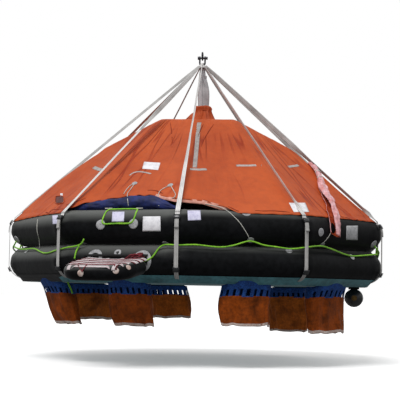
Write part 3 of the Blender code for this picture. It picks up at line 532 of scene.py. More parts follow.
def makeBuoyancyTube(name, upper, look):
    # Lengths are shorter near the corners, where the cloth puckers.
    shares = [step / look["lengthsPerSide"] for step in range(look["lengthsPerSide"])]
    places = [side + share - 0.09 * math.sin(2 * math.pi * share) for side in range(ringSides) for share in shares]
    angles = np.linspace(0, 360, look["aroundSection"], endpoint=False)
    rows = []
    for place in places:
        nearCorner = abs(place - round(place)) * sideLength
        dent = -look["seamDent"] * math.exp(-((nearCorner - 0.016) / 0.010) ** 2)
        row = []
        for degrees in angles:
            inside = 0.5 - 0.5 * math.cos(math.radians(degrees))
            pucker = look["puckerDepth"] * math.exp(-(nearCorner / look["puckerReach"]) ** 2) * (0.35 + inside)
            ripple = pucker * math.sin(math.radians(degrees) * 11 + 2.0 * round(place))
            point = tubeSkin(place, degrees, 0.0, upper)
            swell = look["unevenness"] * wander(point.x * 2.2, point.y * 2.2, point.z * 3 + 7)
            row.append(tubeSkin(place, degrees, ripple + swell + dent - 0.002, upper))
        rows.append(row)
    tealFrom, tealTo = look["tealFrom"] % 360, look["tealTo"] % 360
    return gridPiece(f"{name}_skin", rows, [blackRubber, tealRubber], wrapU=True, wrapV=True, slot="rubber_black",
                     choose=lambda i, j: int(not upper and tealTo <= angles[j] <= tealFrom), node=name)


upperTree = treeOf(makeBuoyancyTube("upper_buoyancy_tube", True, buoyancyTube))
lowerTree = treeOf(makeBuoyancyTube("lower_buoyancy_tube", False, buoyancyTube))
print("buoyancy tubes made")

# Canopy: wall panels from the rim on the upper tube to the line over the two arches, and the roof between them

canopyForm = {
    "rimAngle": 54.0, "archY": 0.40, "ridgeEndX": 0.40, "ridgeHeight": 1.44, "shoulderX": 1.05,
    "shoulderHeight": 1.095, "skin": 0.0075, "columnsPerSide": 44, "rows": 56, "thickness": 0.004,
    "panelHollow": 0.022, "cornerLift": {3: 0.058, 8: 0.036}, "cornerDrop": 24.0, "foldDepth": 0.009,
    "hemPucker": 0.007, "strapGroove": 0.006, "smoothing": 14, "columnHole": 0.105,
    # How far each doorway's hem is lifted, as (place, share of the way up).
    "hemLift": ((-1.10, 0.0), (-0.87, 0.095), (-0.66, 0.145), (-0.42, 0.17), (-0.25, 0.165), (-0.05, 0.12),
                (0.20, 0.105), (0.37, 0.06), (0.50, 0.0)),
}


def hemShare(place):
    spots, shares = zip(*canopyForm["hemLift"])
    for door in (0.0, ringSides / 2):
        local = (place - door + ringSides / 2) % ringSides - ringSides / 2
        if spots[0] <= local <= spots[-1]:
            return float(np.interp(local, spots, shares))
    return 0.0


def archLine(form):
    front = ((0.0, form["ridgeHeight"]), (form["ridgeEndX"], form["ridgeHeight"]),
             (form["shoulderX"], form["shoulderHeight"]))
    half = [np.array((x, -form["archY"], seamZ + h)) for x, h in front]
    half += [np.array((x, form["archY"], seamZ + h)) for x, h in reversed(front)]
    return half + [p * np.array((-1, 1, 1)) for p in reversed(half[1:-1])]


archPoints = archLine(canopyForm)
rimTurn = math.radians(canopyForm["rimAngle"])
rimRadius = ringRadius + tubeRadius / mitre * math.cos(rimTurn)
rimZ = upperZ + tubeRadius * math.sin(rimTurn)


def canopyBase(place, share):
    index = math.floor(place)
    part = place - index
    low = np.array((*polygonPoint(place, rimRadius), rimZ))
    high = archPoints[index % ringSides] * (1 - part) + archPoints[(index + 1) % ringSides] * part
    return low * (1 - share) + high * share


def foldField(place, share):
    # Tension folds run from the ridge down to the rim and fan out with the panels.
    depth = 0.0
    for pitch, slant, seed, weight in ((4.0, 0.5, 3.1, 1.0), (9.0, -0.35, 11.7, 0.75), (17.0, 0.2, 23.9, 0.45)):
        line = wander(place * pitch + slant * share * pitch * 0.4, share * 1.1, seed)
        patch = 0.5 + 0.5 * wander(place * 1.3, share * 2.0, seed + 40)
        depth += weight * (1 - abs(line) * 2.4) ** 3 * patch if abs(line) < 0.4 else 0.0
    return depth


def makeCanopy(form):
    perSide, rows = form["columnsPerSide"], form["rows"]
    count = ringSides * perSide
    places = np.arange(count) / perSide
    hems = [hemShare(p) for p in places]
    shares = np.array([[hem + (1 - hem) * j / rows for j in range(rows + 1)] for hem in hems])
    walls = np.array([[canopyBase(place, share) for share in row] for place, row in zip(places, shares)])
    verts = [tuple(p) for p in walls.reshape(-1, 3)]
    faces, faceUvs = [], []
    du, dv = sideLength / perSide, 2.0 / rows
    for i in range(count):
        here, there = i * (rows + 1), (i + 1) % count * (rows + 1)
        for j in range(rows):
            faces.append((here + j, there + j, there + j + 1, here + j + 1))
            u, v = i / perSide * sideLength, j / rows * 2.0
            faceUvs.extend(((u, v), (u + du, v), (u + du, v + dv), (u, v + dv)))
    # The roof joins the point over the front arch to the one over the back arch, row by row.
    front = [(8 * perSide + k) % count for k in range(4 * perSide + 1)]
    back = [7 * perSide - k for k in range(4 * perSide + 1)]
    roof = [[i * (rows + 1) + rows for i in front]]
    for level in range(1, perSide):
        share = level / perSide
        line = [(8 * perSide - level) * (rows + 1) + rows]
        for a, b in zip(front[1:-1], back[1:-1]):
            verts.append(tuple(walls[a, rows] * (1 - share) + walls[b, rows] * share))
            line.append(len(verts) - 1)
        roof.append(line + [(2 * perSide + level) * (rows + 1) + rows])
    roof.append([i * (rows + 1) + rows for i in back])
    for low, high in zip(roof, roof[1:]):
        for k in range(len(low) - 1):
            ring = (low[k], low[k + 1], high[k + 1], high[k])
            if not all(math.hypot(*verts[n][:2]) < form["columnHole"] for n in ring):
                faces.append(ring)
                faceUvs.extend(verts[n][:2] for n in ring)
    # The points over the column's hole belong to no face.
    used = sorted({n for face in faces for n in face})
    newIndex = {old: new for new, old in enumerate(used)}
    faces = [tuple(newIndex[n] for n in face) for face in faces]
    verts = smoothed(np.array(verts)[used], faces, rows, count, form["smoothing"])
    return verts, faces, faceUvs, shares, places


def smoothed(verts, faces, rows, count, rounds):
    # Rounds the creases over the arches; the lowest rows, which are fixed to the tube, stay.
    pairs = np.array([(f[k], f[(k + 1) % 4]) for f in faces for k in range(4)])
    pairs = np.unique(np.sort(pairs, axis=1), axis=0)
    degree = np.bincount(pairs.ravel(), minlength=len(verts)).astype(float)[:, None]
    hold = np.ones((len(verts), 1))
    hold[:count * (rows + 1), 0] = np.clip((np.arange(count * (rows + 1)) % (rows + 1) - 2) / 14, 0, 1)
    for _ in range(rounds):
        total = np.zeros_like(verts)
        np.add.at(total, pairs[:, 0], verts[pairs[:, 1]])
        np.add.at(total, pairs[:, 1], verts[pairs[:, 0]])
        verts = verts + (total / degree - verts) * 0.5 * hold
    return verts


def dressCanopy(form):
    verts, faces, faceUvs, shares, places = makeCanopy(form)
    canopy = makePiece("canopy_cloth", verts, faces, [orangeNylon, liningNylon], None, faceUvs,
                       slot="canopy_orange", node="canopy")
    normals = np.zeros(len(verts) * 3, np.float32)
    canopy.data.vertices.foreach_get("normal", normals)
    normals = normals.reshape(-1, 3)
    if normals[-1, 2] < 0:
        canopy.data.flip_normals()
        normals = -normals
    rows = shares.shape[1] - 1
    moved = verts.copy()
    for i, place in enumerate(places):
        part = place - math.floor(place)
        groove = form["strapGroove"] * math.exp(-(min(part, 1 - part) * 14) ** 2)
        # The end corners are drawn up to their straps, and their hems lie further down the tube.
        drawn = sum(lift * math.exp(-((place - spot) / 0.5) ** 2) for spot, lift in form["cornerLift"].items())
        end = math.exp(-(min(abs(place - 2.75), abs(place - 7.75)) / 0.6) ** 2)
        for j, share in enumerate(shares[i]):
            n = i * (rows + 1) + j
            middle = math.sin(math.pi * part) * math.sin(math.pi * min(1.0, share * 1.05)) ** 0.8
            fade = min(1.0, share / 0.08) * min(1.0, (1.05 - share) / 0.1)
            fold = form["foldDepth"] * foldField(place, share) * fade * (0.55 + 0.45 * share)
            broad = 0.010 * wander(place * 2.1, share * 3.0, 5.5) * middle
            pucker = form["hemPucker"] * math.exp(-(share - shares[i, 0]) / 0.05) * math.sin(
                place * 52 + 3 * wander(place * 5, 0, 9))
            pucker *= 1.0 if shares[i, 0] > 0.001 else 0.35
            tent = drawn * math.sin(math.pi * min(1.0, share / 0.9)) ** 0.7
            moved[n] = verts[n] + normals[n] * (form["skin"] - form["panelHollow"] * middle + fold + broad + pucker
                                                - groove * min(1.0, share * 4) + tent)
            if j < 4 and end > 0.02:
                down = form["cornerDrop"] * end * (1 - j / 4) ** 1.5
                hang = tubeSkin(place, form["rimAngle"] + 9.0 * j - down, form["skin"] + 0.002 * j + pucker)
                moved[n] = moved[n] * (j / 4) + np.array(hang) * (1 - j / 4)
    for n in range(len(places) * (rows + 1), len(verts)):
        x, y = verts[n, 0], verts[n, 1]
        middle = max(0.0, 1 - (abs(y) / form["archY"]) ** 2)
        gather = 0.008 * math.exp(-math.hypot(x, y) / 0.22) * math.cos(
            math.atan2(y, x) * 11 + 2 * noise.noise(Vector((x, y, 0)) * 3))
        sag = -0.018 * middle + 0.008 * wander(x * 3, y * 3, 2.0) * middle
        moved[n] = verts[n] + normals[n] * (form["skin"] + sag + gather)
    canopy.data.vertices.foreach_set("co", moved.astype(np.float32).ravel())
    canopy.data.update()
    canopy.data.shade_smooth()
    thicken(canopy, form["thickness"], -1.0, material_offset=1, material_offset_rim=0)
    return canopy


canopy = dressCanopy(canopyForm)
canopyTree = treeOf(canopy)
print("canopy made:", len(canopy.data.polygons), "faces")

# Finishes of the frame's own solids that stay in the picture

solidFinishes = {
    orangeNylon: "arch_tube_front arch_tube_rear", cylinderPaint: "gas_cylinder", valveBrass: "cylinder_valve",
    blackWebbing: "cylinder_cradle ramp_batten ladder_batten", forgedSteel: "lifting_link shackle_bow shackle_pin",
    tealRubber: "floor", blackRubber: "ramp_tube", redWebbing: "ramp_mat", whiteWebbing: "boarding_ladder",
    sleeveNylon: "rain_sleeve", navyNylon: "door_curtain_front door_curtain_rear",
}
for material, nodeNames in solidFinishes.items():
    for nodeName in nodeNames.split():
        cadNodes[nodeName].data.materials.clear()
        cadNodes[nodeName].data.materials.append(material)

# Bridle: taut webbing legs that turn from edge-on under the shackle to flat on the tube's buckles

bridle = {
    "apexHeight": 2.130, "startRadius": 0.038, "width": 0.048, "bunchedWidth": 0.030, "bunchLength": 0.22,
    "thickness": 0.0045, "overCanopy": 0.017, "sway": 0.0015,
    # Angle and lift where a leg comes to lie on the tube.
    "wrap": ((48.0, 0.0125), (44.0, 0.0075), (40.0, 0.0042), (36.5, 0.0032)),
    # Legs greyed with painted shade above this height over the seam.
    "shadedAbove": {2: 0.0, 3: 0.0, 4: 0.0, 6: 0.0, 7: 0.0, 8: 0.0, 9: 1.27},
    # How much of each leg's width the picture shows, at shares of its length, before it lies flat on its buckle.
    "shown": {
        0: ((0.0, 0.30), (0.50, 0.38), (0.70, 0.75), (0.90, 0.95)), 1: ((0.0, 0.42), (0.92, 0.40)),
        2: ((0.0, 0.95), (0.52, 1.0), (0.62, 0.60), (0.92, 0.58)), 3: ((0.0, 0.85), (0.90, 0.95)),
        4: ((0.0, 0.80), (0.90, 0.88)), 5: ((0.0, 0.40), (0.90, 0.60)), 6: ((0.0, 0.28), (0.90, 0.30)),
        7: ((0.0, 0.50), (0.90, 0.60)), 8: ((0.0, 0.55), (0.90, 0.60)),
        9: ((0.0, 0.80), (0.10, 1.0), (0.33, 1.0), (0.46, 0.40), (0.90, 0.38)),
    },
}


def bridleTouch(look):
    # Where a taut line from the apex touches the tube, found where the mitre's ellipse is a circle.
    reach = tubeRadius + look["overCanopy"]
    centre = np.array((ringRadius * mitre, upperZ))
    away = centre - (0.0, seamZ + look["apexHeight"])
    turn = math.atan2(away[1], away[0]) + math.asin(reach / np.linalg.norm(away)) + math.pi / 2
    touch = centre + reach * np.array((math.cos(turn), math.sin(turn)))
    return np.array((touch[0] / mitre, touch[1]))


def cornerSection(degrees, lift, upper=True):
    # A point off a tube's skin in the upright plane through a corner, as radius and height.
    turn = math.radians(degrees)
    return np.array((ringRadius + (tubeRadius + lift) / mitre * math.cos(turn),
                     (upperZ if upper else lowerZ) + (tubeRadius + lift) * math.sin(turn)))


def standUp(index, section):
    return np.array((*cornerAt(index, section[0]), section[1]))


def sideways(outward):
    return np.array((-outward[1], outward[0], 0.0))


def makeBridleLegs(look):
    touch = bridleTouch(look)
    start = np.array((look["startRadius"], seamZ + look["apexHeight"]))
    start[1] -= (start[1] - touch[1]) * start[0] / touch[0]
    line = [start + (touch - start) * k / 60 for k in range(61)] + [cornerSection(*stop) for stop in look["wrap"]]
    for index in range(ringSides):
        path = np.array([standUp(index, p) for p in line])
        lengths = lengthsAlong(path)
        shares = lengths / lengths[-1]
        tangents = unit(np.gradient(path, axis=0))
        around = sideways(cornerOutward(index))
        # The webbing turns between edge-on and flat as the picture sees it, then lies along the tube.
        sight = np.array(cameraPlace) - path
        edgeOn = unit(sight - tangents * np.sum(sight * tangents, axis=1)[:, None])
        facing = np.cross(tangents, edgeOn)
        facing *= np.sign(np.sum(facing * around, axis=1))[:, None]
        shown = np.interp(shares, *zip(*look["shown"][index]))[:, None]
        lay = np.clip((shares - 0.90) / 0.07, 0, 1)[:, None]
        across = (facing * shown + edgeOn * np.sqrt(1 - shown ** 2)) * (1 - lay) + around * lay
        grow = np.clip(lengths / look["bunchLength"], 0, 1)
        widths = look["bunchedWidth"] + (look["width"] - look["bunchedWidth"]) * grow ** 0.7
        # A taut strap still wavers by a millimetre or two.
        sway = look["sway"] * np.sin(shares * 23 + index) * np.sin(np.pi * np.clip(shares * 1.15, 0, 1))
        leg = strapPiece(f"leg_webbing_{index + 1:02d}", path + around * sway[:, None], across, widths,
                         look["thickness"], whiteWebbing, slot="webbing_white", node=f"bridle_leg_{index + 1:02d}")
        # Above that height a leg takes the copy greyed as painted shade.
        if index in look["shadedAbove"]:
            leg.data.materials.append(paintedShadeWebbing)
            for face in leg.data.polygons:
                face.material_index = int(face.center.z > seamZ + look["shadedAbove"][index])


makeBridleLegs(bridle)

# The column of inner straps hangs inside the outer bridle, goes through the collar and parts under the roof.

innerBridle = {
    "strips": 10, "stripWidth": 0.047, "stripThickness": 0.005, "foot": 1.33, "lean": 0.022, "beside": 0.025,
    # Height over the seam and radius, from the shackle down through the collar.
    "column": ((2.082, 0.012), (1.98, 0.028), (1.935, 0.038), (1.86, 0.050), (1.78, 0.058), (1.68, 0.056),
               (1.60, 0.050), (1.50, 0.050), (1.40, 0.046)),
}


def makeInnerBridle(look):
    for strip in range(look["strips"]):
        outward = cornerOutward(strip + 0.35 * wander(strip * 3.3, 0, 0))
        points = []
        for height, radius in look["column"]:
            flat = outward * (radius + 0.005 * wander(strip * 5.1, height * 6, 1.0) + 0.004 * (strip % 2))
            lean = look["lean"] * min(1.0, max(0.0, (2.02 - height) / 0.2))
            points.append((flat[0] + lean, flat[1], seamZ + height))
        corner = 1 + 2 * (strip // 2)
        towards = cornerOutward(corner)
        around, across = sideways(outward), sideways(towards)
        beside = across * look["beside"] * (1 if strip % 2 else -1)
        high = np.array((*(towards[:2] * 0.03), seamZ + look["foot"]))
        low = standUp(corner, cornerSection(180.0, 0.006))
        path = smoothPath(points + [high + (low - high) * share + beside for share in (0.06, 0.3, 0.6, 1.0)], 0.03)
        below = np.clip((1.45 - (path[:, 2] - seamZ)) / 0.2, 0, 1)[:, None]
        if np.dot(around, across) < 0:
            across = -across
        strapPiece(f"inner_strap_{strip + 1:02d}", path, around * (1 - below) + across * below, look["stripWidth"],
                   look["stripThickness"], greyWebbing, slot="webbing_grey", node="inner_bridle")


makeInnerBridle(innerBridle)

# Under the shackle, each pair of legs is one strap over the bow, and a seizing binds the five.

bridleHead = {"bowBottom": 2.105, "bowRadius": 0.0095, "loopWidth": 0.030, "loopThickness": 0.0038, "reach": 0.062,
              "seizingHeight": 1.985, "seizingRadius": 0.0052, "neckRadius": 0.040, "turns": 4, "turnDrop": 0.0105}


def makeBridleHead(look):
    touch = bridleTouch(bridle)
    apex = seamZ + bridle["apexHeight"]
    foot = (look["reach"], apex - (apex - touch[1]) / touch[0] * look["reach"])
    centre = np.array((0.0, 0.0, seamZ + look["bowBottom"]))
    below = np.array((0.0, 0.0, 0.010))
    for index in range(5):
        rise = look["bowRadius"] + look["loopThickness"] * (0.75 + index)
        start, end = standUp(index, foot), standUp(index + 5, foot)
        # The straps cross the bow along its width, so their loops lean towards the -Y and +Y sides.
        lean = unit((cornerAt(index, 0.35)[0], cornerAt(index, 1.0)[1], 0.0))
        points = [start, start * 0.4 + (centre + lean * rise - below) * 0.6]
        for angle in circle(16)[:9]:
            points.append(centre + lean * rise * math.cos(angle) * 1.02 + np.array((0, 0, rise * math.sin(angle))))
        points += [end * 0.4 + (centre - lean * rise - below) * 0.6, end]
        strapPiece(f"head_loop_{index + 1}", smoothPath(points, 0.008), np.cross(lean, (0, 0, 1)),
                   look["loopWidth"], look["loopThickness"], whiteWebbing, slot="webbing_white", node="bridle_head")
    points = []
    for step in range(look["turns"] * 16 + 1):
        angle = 2 * math.pi * step / 16
        points.append((innerBridle["lean"] * 0.4 + look["neckRadius"] * math.cos(angle),
                       look["neckRadius"] * math.sin(angle),
                       seamZ + look["seizingHeight"] - look["turnDrop"] * step / 16))
    ropePiece("head_seizing", points, look["seizingRadius"], greyWebbing, layLength=0.03, around=8, spacing=0.012,
              slot="webbing_grey", node="bridle_head")


makeBridleHead(bridleHead)

# Collar: the roof's cloth is gathered round the column and tied with a cord.

collar = {
    "folds": 15, "columns": 150, "lean": 0.020, "tail": 0.34, "tieHeight": 1.590, "tieRadius": 0.088,
    "cordRadius": 0.0045, "crumple": 0.018, "thickness": 0.003, "rowsOnRoof": 3,
    # Radius, height over the seam and depth of the folds, from the inner lip down to the roof.
    "profile": ((0.071, 1.550, 0.001), (0.072, 1.604, 0.001), (0.075, 1.628, 0.002), (0.084, 1.636, 0.004),
                (0.093, 1.628, 0.005), (0.096, 1.610, 0.005), (0.090, 1.590, 0.004), (0.090, 1.570, 0.004),
                (0.101, 1.548, 0.007), (0.116, 1.520, 0.009), (0.135, 1.492, 0.010), (0.162, 1.468, 0.009),
                (0.190, 1.452, 0.006), (0.222, 1.444, 0.002)),
}


def makeCollar(look):
    rows = []
    roofFrom = len(look["profile"]) - look["rowsOnRoof"]
    for level, (radius, height, depth) in enumerate(look["profile"]):
        # Loose cloth above the tie is crushed and flops about.
        loose = look["crumple"] * min(1.0, level / 2) * max(0.0, min(1.0, (roofFrom - level) / 4))
        row = []
        for angle in circle(look["columns"]):
            stray = wander(math.cos(angle) * 2, math.sin(angle) * 2, level * 0.14)
            reach = radius + depth * (math.cos(look["folds"] * angle + 3.5 * stray)
                                      + 0.5 * math.cos(look["folds"] * 2.3 * angle + 5 * stray))
            # Its foot trails off to the left, where the roof's cloth is drawn up.
            tail = look["tail"] * max(0.0, -math.cos(angle)) ** 3 * min(1.0, max(0.0, (1.60 - height) / 0.06))
            x = reach * (1 + tail) * math.cos(angle) + look["lean"] * min(1.0, max(0.0, (height - 1.45) / 0.1))
            y, z = reach * math.sin(angle), seamZ + height
            flop = noise.noise_vector(Vector((x * 11, y * 11, height * 16)))
            x += loose * flop.x
            y += loose * flop.y
            z += loose * (flop.z + 0.5 * wander(x * 26, y * 26, 3))
            if level >= roofFrom:
                found = canopyTree.ray_cast(Vector((x, y, seamZ + 2.0)), Vector((0, 0, -1)))
                if found[0]:
                    share = (level - roofFrom + 1) / look["rowsOnRoof"]
                    z = z * (1 - share) + (found[0].z + 0.002) * share
            row.append((x, y, z))
        rows.append(row)
    piece = gridPiece("collar_cloth", rows, [orangeNylon], wrapV=True, slot="canopy_orange", node="canopy_collar")
    thicken(piece, look["thickness"], -1.0)
    points = []
    for step in range(40):
        angle = 2 * math.pi * step / 18 - 1.2
        points.append((look["tieRadius"] * math.cos(angle) + look["lean"], look["tieRadius"] * math.sin(angle),
                       seamZ + look["tieHeight"] - 0.006 + 0.0002 * step + 0.004 * math.sin(angle * 2)))
    ropePiece("collar_tie", points, look["cordRadius"], orangeNylon, layLength=0.03, around=8, spacing=0.012)


makeCollar(collar)
print("bridle made")

# Tube straps: a black buckle over its pad on each tube, webbing down the outer faces and under the lower tube

tubeStrap = {
    "barRadius": 0.0038, "buckleWidth": 0.058, "barStep": 6.5, "buckles": ((29.0, True), (-25.0, False)),
    "tailWaver": 0.003,
    # Width, thickness, material and stations: an angle, a lift and whether it is on the upper tube.
    "runs": {
        "pad_high": (0.062, 0.006, blackRubber, ((38.0, 0.0035, True), (19.0, 0.0035, True))),
        "pad_low": (0.0558, 0.006, blackRubber, ((-15.0, 0.0035, False), (-34.0, 0.0035, False))),
        # The webbing and its tail take the copy greyed as painted shade.
        "webbing": (0.042, 0.0045, paintedShadeWebbing,
                    ((37.0, 0.011, True), (30.0, 0.0145, True), (18.0, 0.0075, True), (0.0, 0.00225, True),
                     (0.0, 0.00225, False), (-14.0, 0.0065, False), (-25.0, 0.0135, False),
                     (-36.0, 0.0065, False), (-72.0, 0.00225, False))),
        "tail": (0.04032, 0.0045, paintedShadeWebbing,
                 ((27.0, 0.0165, True), (16.0, 0.0135, True), (2.0, 0.0125, True), (-6.0, 0.017, True))),
        # The buckles' black bodies close over the webbing.
        "keeper_high": (0.054, 0.007, cylinderPaint,
                        ((35.5, 0.0200, True), (29.0, 0.0225, True), (22.5, 0.0200, True))),
        "keeper_low": (0.054, 0.007, cylinderPaint,
                       ((-17.5, 0.0185, False), (-25.0, 0.0215, False), (-31.5, 0.0185, False))),
    },
}


def strapRun(stations):
    # The run follows the skin from station to station, and goes straight from tube to tube.
    line = []
    for (angle, lift, upper), (nextAngle, nextLift, nextUpper) in zip(stations, stations[1:]):
        steps = max(1, round(abs(nextAngle - angle) / 4)) if upper == nextUpper else 5
        first, last = cornerSection(angle, lift, upper), cornerSection(nextAngle, nextLift, nextUpper)
        for share in (step / steps for step in range(steps)):
            line.append(cornerSection(angle + (nextAngle - angle) * share, lift + (nextLift - lift) * share, upper)
                        if upper == nextUpper else first + (last - first) * share)
    return line + [cornerSection(*stations[-1])]


def roundBars(bars, radius):
    verts, faces = [], []
    for first, last in bars:
        ahead = unit(last - first)
        side = unit(np.cross(ahead, (0.3, 0.2, 0.9)))
        up = np.cross(ahead, side)
        base = len(verts)
        for spot in (first - ahead * radius, last + ahead * radius):
            verts += [spot + radius * (side * math.cos(angle) + up * math.sin(angle)) for angle in circle(8)]
        faces += [(base + t, base + (t + 1) % 8, base + 8 + (t + 1) % 8, base + 8 + t) for t in range(8)]
        faces += [tuple(base + t for t in reversed(range(8))), tuple(base + 8 + t for t in range(8))]
    return verts, faces


def makeTubeStraps(look):
    for index in range(ringSides):
        around = cornerOutward(index + 2.5)
        for kind, (width, thickness, material, stations) in look["runs"].items():
            if kind == "tail":
                angle, lift, upper = stations[-1]
                stations = (*stations[:-1], (angle, lift + look["tailWaver"] * math.sin(index * 2.1), upper))
            strapPiece(f"strap_{kind}_{index + 1:02d}", [standUp(index, p) for p in strapRun(stations)], around,
                       width, thickness, material, node=f"tube_strap_{index + 1:02d}",
                       slot="webbing_grey" if material is paintedShadeWebbing else "webbing_black")
        for level, (centre, upper) in enumerate(look["buckles"]):
            bars = []
            for step in (-1, 0, 1):
                section = cornerSection(centre + step * look["barStep"], 0.0195 if step else 0.0125, upper)
                spot, half = standUp(index, section), around * look["buckleWidth"] / 2
                bars.append((spot - half, spot + half))
            bars += [(bars[0][end], bars[2][end]) for end in (0, 1)]
            makePiece(f"buckle_{level + 1}_{index + 1:02d}", *roundBars(bars, look["barRadius"]), [forgedSteel],
                      slot="steel_dark")


makeTubeStraps(tubeStrap)
print("tube straps made")

# Underside: the floor's cloth is taped over the tube and hangs a little slack

floorCloth = {"rings": 22, "around": 160, "slack": 0.018, "puckers": 0.004, "underTop": 0.033,
              "apron": (-66.0, -60.0, -54.0, -49.0), "blackPast": -1.25}


def makeFloorCloth(look):
    low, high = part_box("floor")
    count = look["around"]
    places = [ringSides * step / count for step in range(count)]
    rows = []
    for share in (0.02 + 0.98 * ring / look["rings"] for ring in range(look["rings"] + 1)):
        row = []
        for place in places:
            x, y = polygonPoint(place, -low.y) * share
            hang = look["slack"] * (1 - share ** 2) + look["puckers"] * wander(x * 2, y * 2, 0)
            pucker = look["puckers"] * math.sin(place * 44) * max(0.0, share - 0.8) * 4
            row.append((x, y, high.z - look["underTop"] - hang * 0.4 + pucker * 0.4))
        rows.append(row)
    # Its edge is taped up the lower tube, in black at the left end.
    rows += [[tubeSkin(place, degrees, 0.003, upper=False) for place in places] for degrees in look["apron"]]
    cloth = gridPiece("floor_cloth", rows, [tealRubber, blackRubber], wrapV=True, slot="floor_teal", node="floor",
                      choose=lambda i, j: int(i >= look["rings"] and rows[i][j][0] < look["blackPast"]))
    verts = [(*(polygonPoint(place, -low.y) * share), high.z - 0.002) for share in (0.01998, 0.999)
             for place in places]
    faces = [(k, count + k, count + (k + 1) % count, (k + 1) % count) for k in range(count)]
    makePiece("floor_top", verts, faces + [tuple(reversed(range(count)))], [tealRubber], slot="floor_teal",
              node="floor")


makeFloorCloth(floorCloth)

# Ballast pockets: bags with a slotted band of blue net at the top, pleated by the wind and hemmed with pale tape

pocketLook = {
    "width": 0.42, "depth": 0.19, "radius": 1.72, "band": 0.112, "rows": 44, "around": 96, "thickness": 0.0022,
    "slotPitch": 5, "slotWide": 2, "slotFrom": 0.50, "slotTo": 0.86, "pleat": 0.016, "billow": 0.022, "hem": 0.028,
    "hemWave": 0.012, "flatten": 0.62, "clearPocket": 5, "footRise": 0.046, "footReach": 0.080,
    # Bearing from +X in degrees, how far the wind carries the hem towards +X, the drop, and the width's share.
    "places": ((216.5, 0.13, 0.425, 1.20), (252.0, 0.07, 0.42, 1.04), (291.7, 0.00, 0.40, 1.18),
               (325.8, 0.01, 0.475, 1.30), (56.5, 0.01, 0.53, 1.26), (108.5, 0.06, 0.40, 1.12),
               (144.4, 0.06, 0.42, 1.40)),
}


def boxedOut(wave):
    # Pushes a cosine or sine out towards the corners of a rounded box.
    return np.copysign(np.abs(wave) ** 0.6, wave)


def makePocket(index, bearing, lean, drop, wider, look):
    turn = math.radians(bearing)
    outward = np.array((math.cos(turn), math.sin(turn), 0.0))
    across = sideways(outward)
    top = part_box("floor")[0].z + 0.004
    rows, count = look["rows"], look["around"]
    bandShare = look["band"] / drop
    # The section's columns are evenly spaced round it, so the slots are too.
    fine = np.linspace(0, 2 * math.pi, 721)
    along = lengthsAlong(np.stack([boxedOut(np.cos(fine)) * look["depth"], boxedOut(np.sin(fine)) * look["width"]],
                                  axis=1))
    angles = np.interp(np.linspace(0, along[-1], count, endpoint=False), along, fine)
    grid = []
    for share in (row / rows for row in range(rows + 1)):
        flatten = 1 - (1 - look["flatten"]) * share ** 1.3
        belly = 1 + 0.05 * math.sin(math.pi * share)
        line = []
        for angle in angles:
            c, s = math.cos(angle), math.sin(angle)
            spot = wander(c * 2.2 + index * 7, s * 2.2, share * 1.2)
            pleat = math.sin(angle * 9 + 4 * spot + index) * look["pleat"] * min(1.0, 0.15 + share * 1.2)
            pleat += 0.5 * look["pleat"] * math.sin(angle * 21 + 5 * spot) * share
            push = pleat * 0.6 + look["billow"] * spot * (0.3 + share)
            # The outer wall starts on the tube's underside, past the floor's edge.
            foot = max(0.0, c) ** 2 * (1 - share) ** 6
            deep = 0.5 * boxedOut(c) * look["depth"] * flatten * belly
            wide = 0.5 * boxedOut(s) * look["width"] * wider * (belly - 0.02 * share)
            place = outward * (look["radius"] + deep + push * c + look["footReach"] * foot)
            place = place + across * (wide + push * s * 0.6)
            wave = look["hemWave"] * (spot + 0.5 * math.sin(angle * 5 + index * 2)) * share ** 3
            blown = lean * share ** 1.4 + 0.010 * math.sin(share * 5 + index)
            line.append((place[0] + blown, place[1], top - drop * share + wave + look["footRise"] * foot))
        grid.append(line)

    def chooseMaterial(i, j):
        # The band's lower edge wavers a little.
        share = (i + 0.5) / rows
        if share < bandShare + 0.012 * math.sin(j * 0.26 + index):
            return 1
        return 2 if share > 1 - look["hem"] / drop else 0

    first, last = (round(rows * bandShare * look[edge]) for edge in ("slotFrom", "slotTo"))

    def skipFace(i, j):
        # The slots are in the wall that the picture sees; one pocket has them in both, so the sky shows through.
        slotted = first <= i <= last and (j + index * 3) % look["slotPitch"] < look["slotWide"]
        seen = (math.cos(angles[j]) > 0) == (math.sin(turn) < 0)
        return slotted and (seen or index == look["clearPocket"])

    # The far bags on the +Y side take the lighter copy, which is painted light.
    cloth = paintedLightPocketNylon if math.sin(turn) > 0 else pocketNylon
    place = {"slot": "pocket_brown", "node": f"ballast_pocket_{index + 1}"}
    pocket = gridPiece(f"pocket_bag_{index + 1}", grid, [cloth, blueNet, hemNylon], wrapV=True,
                       choose=chooseMaterial, skip=skipFace, **place)
    thicken(pocket, look["thickness"])
    # The bottom panel is sewn in above the hem.
    base = grid[rows - 2]
    panel = makePiece(f"pocket_base_{index + 1}", base + [np.mean(base, axis=0) - (0, 0, 0.008)],
                      [(k, (k + 1) % count, count) for k in range(count)], [pocketNylon], **place)
    thicken(panel, look["thickness"])


for number, pocketPlace in enumerate(pocketLook["places"]):
    makePocket(number, *pocketPlace, pocketLook)
print("floor and pockets made")

# Doorway curtain: rolled up on the tube under the lifted hem, with its lining's pink edge beside it

curtain = {
    "angle": 106.0, "around": 40, "steps": 90, "crumple": 0.012, "bandFrom": -0.25, "bandTo": 0.44,
    "bandHeight": 0.058, "bandThickness": 0.004,
    # Places along the tube and the roll's radius there.
    "roll": ((-1.10, 0.014), (-1.02, 0.026), (-0.93, 0.040), (-0.80, 0.052), (-0.62, 0.066), (-0.42, 0.080),
             (-0.25, 0.078), (-0.16, 0.055), (-0.08, 0.028), (-0.02, 0.012)),
}


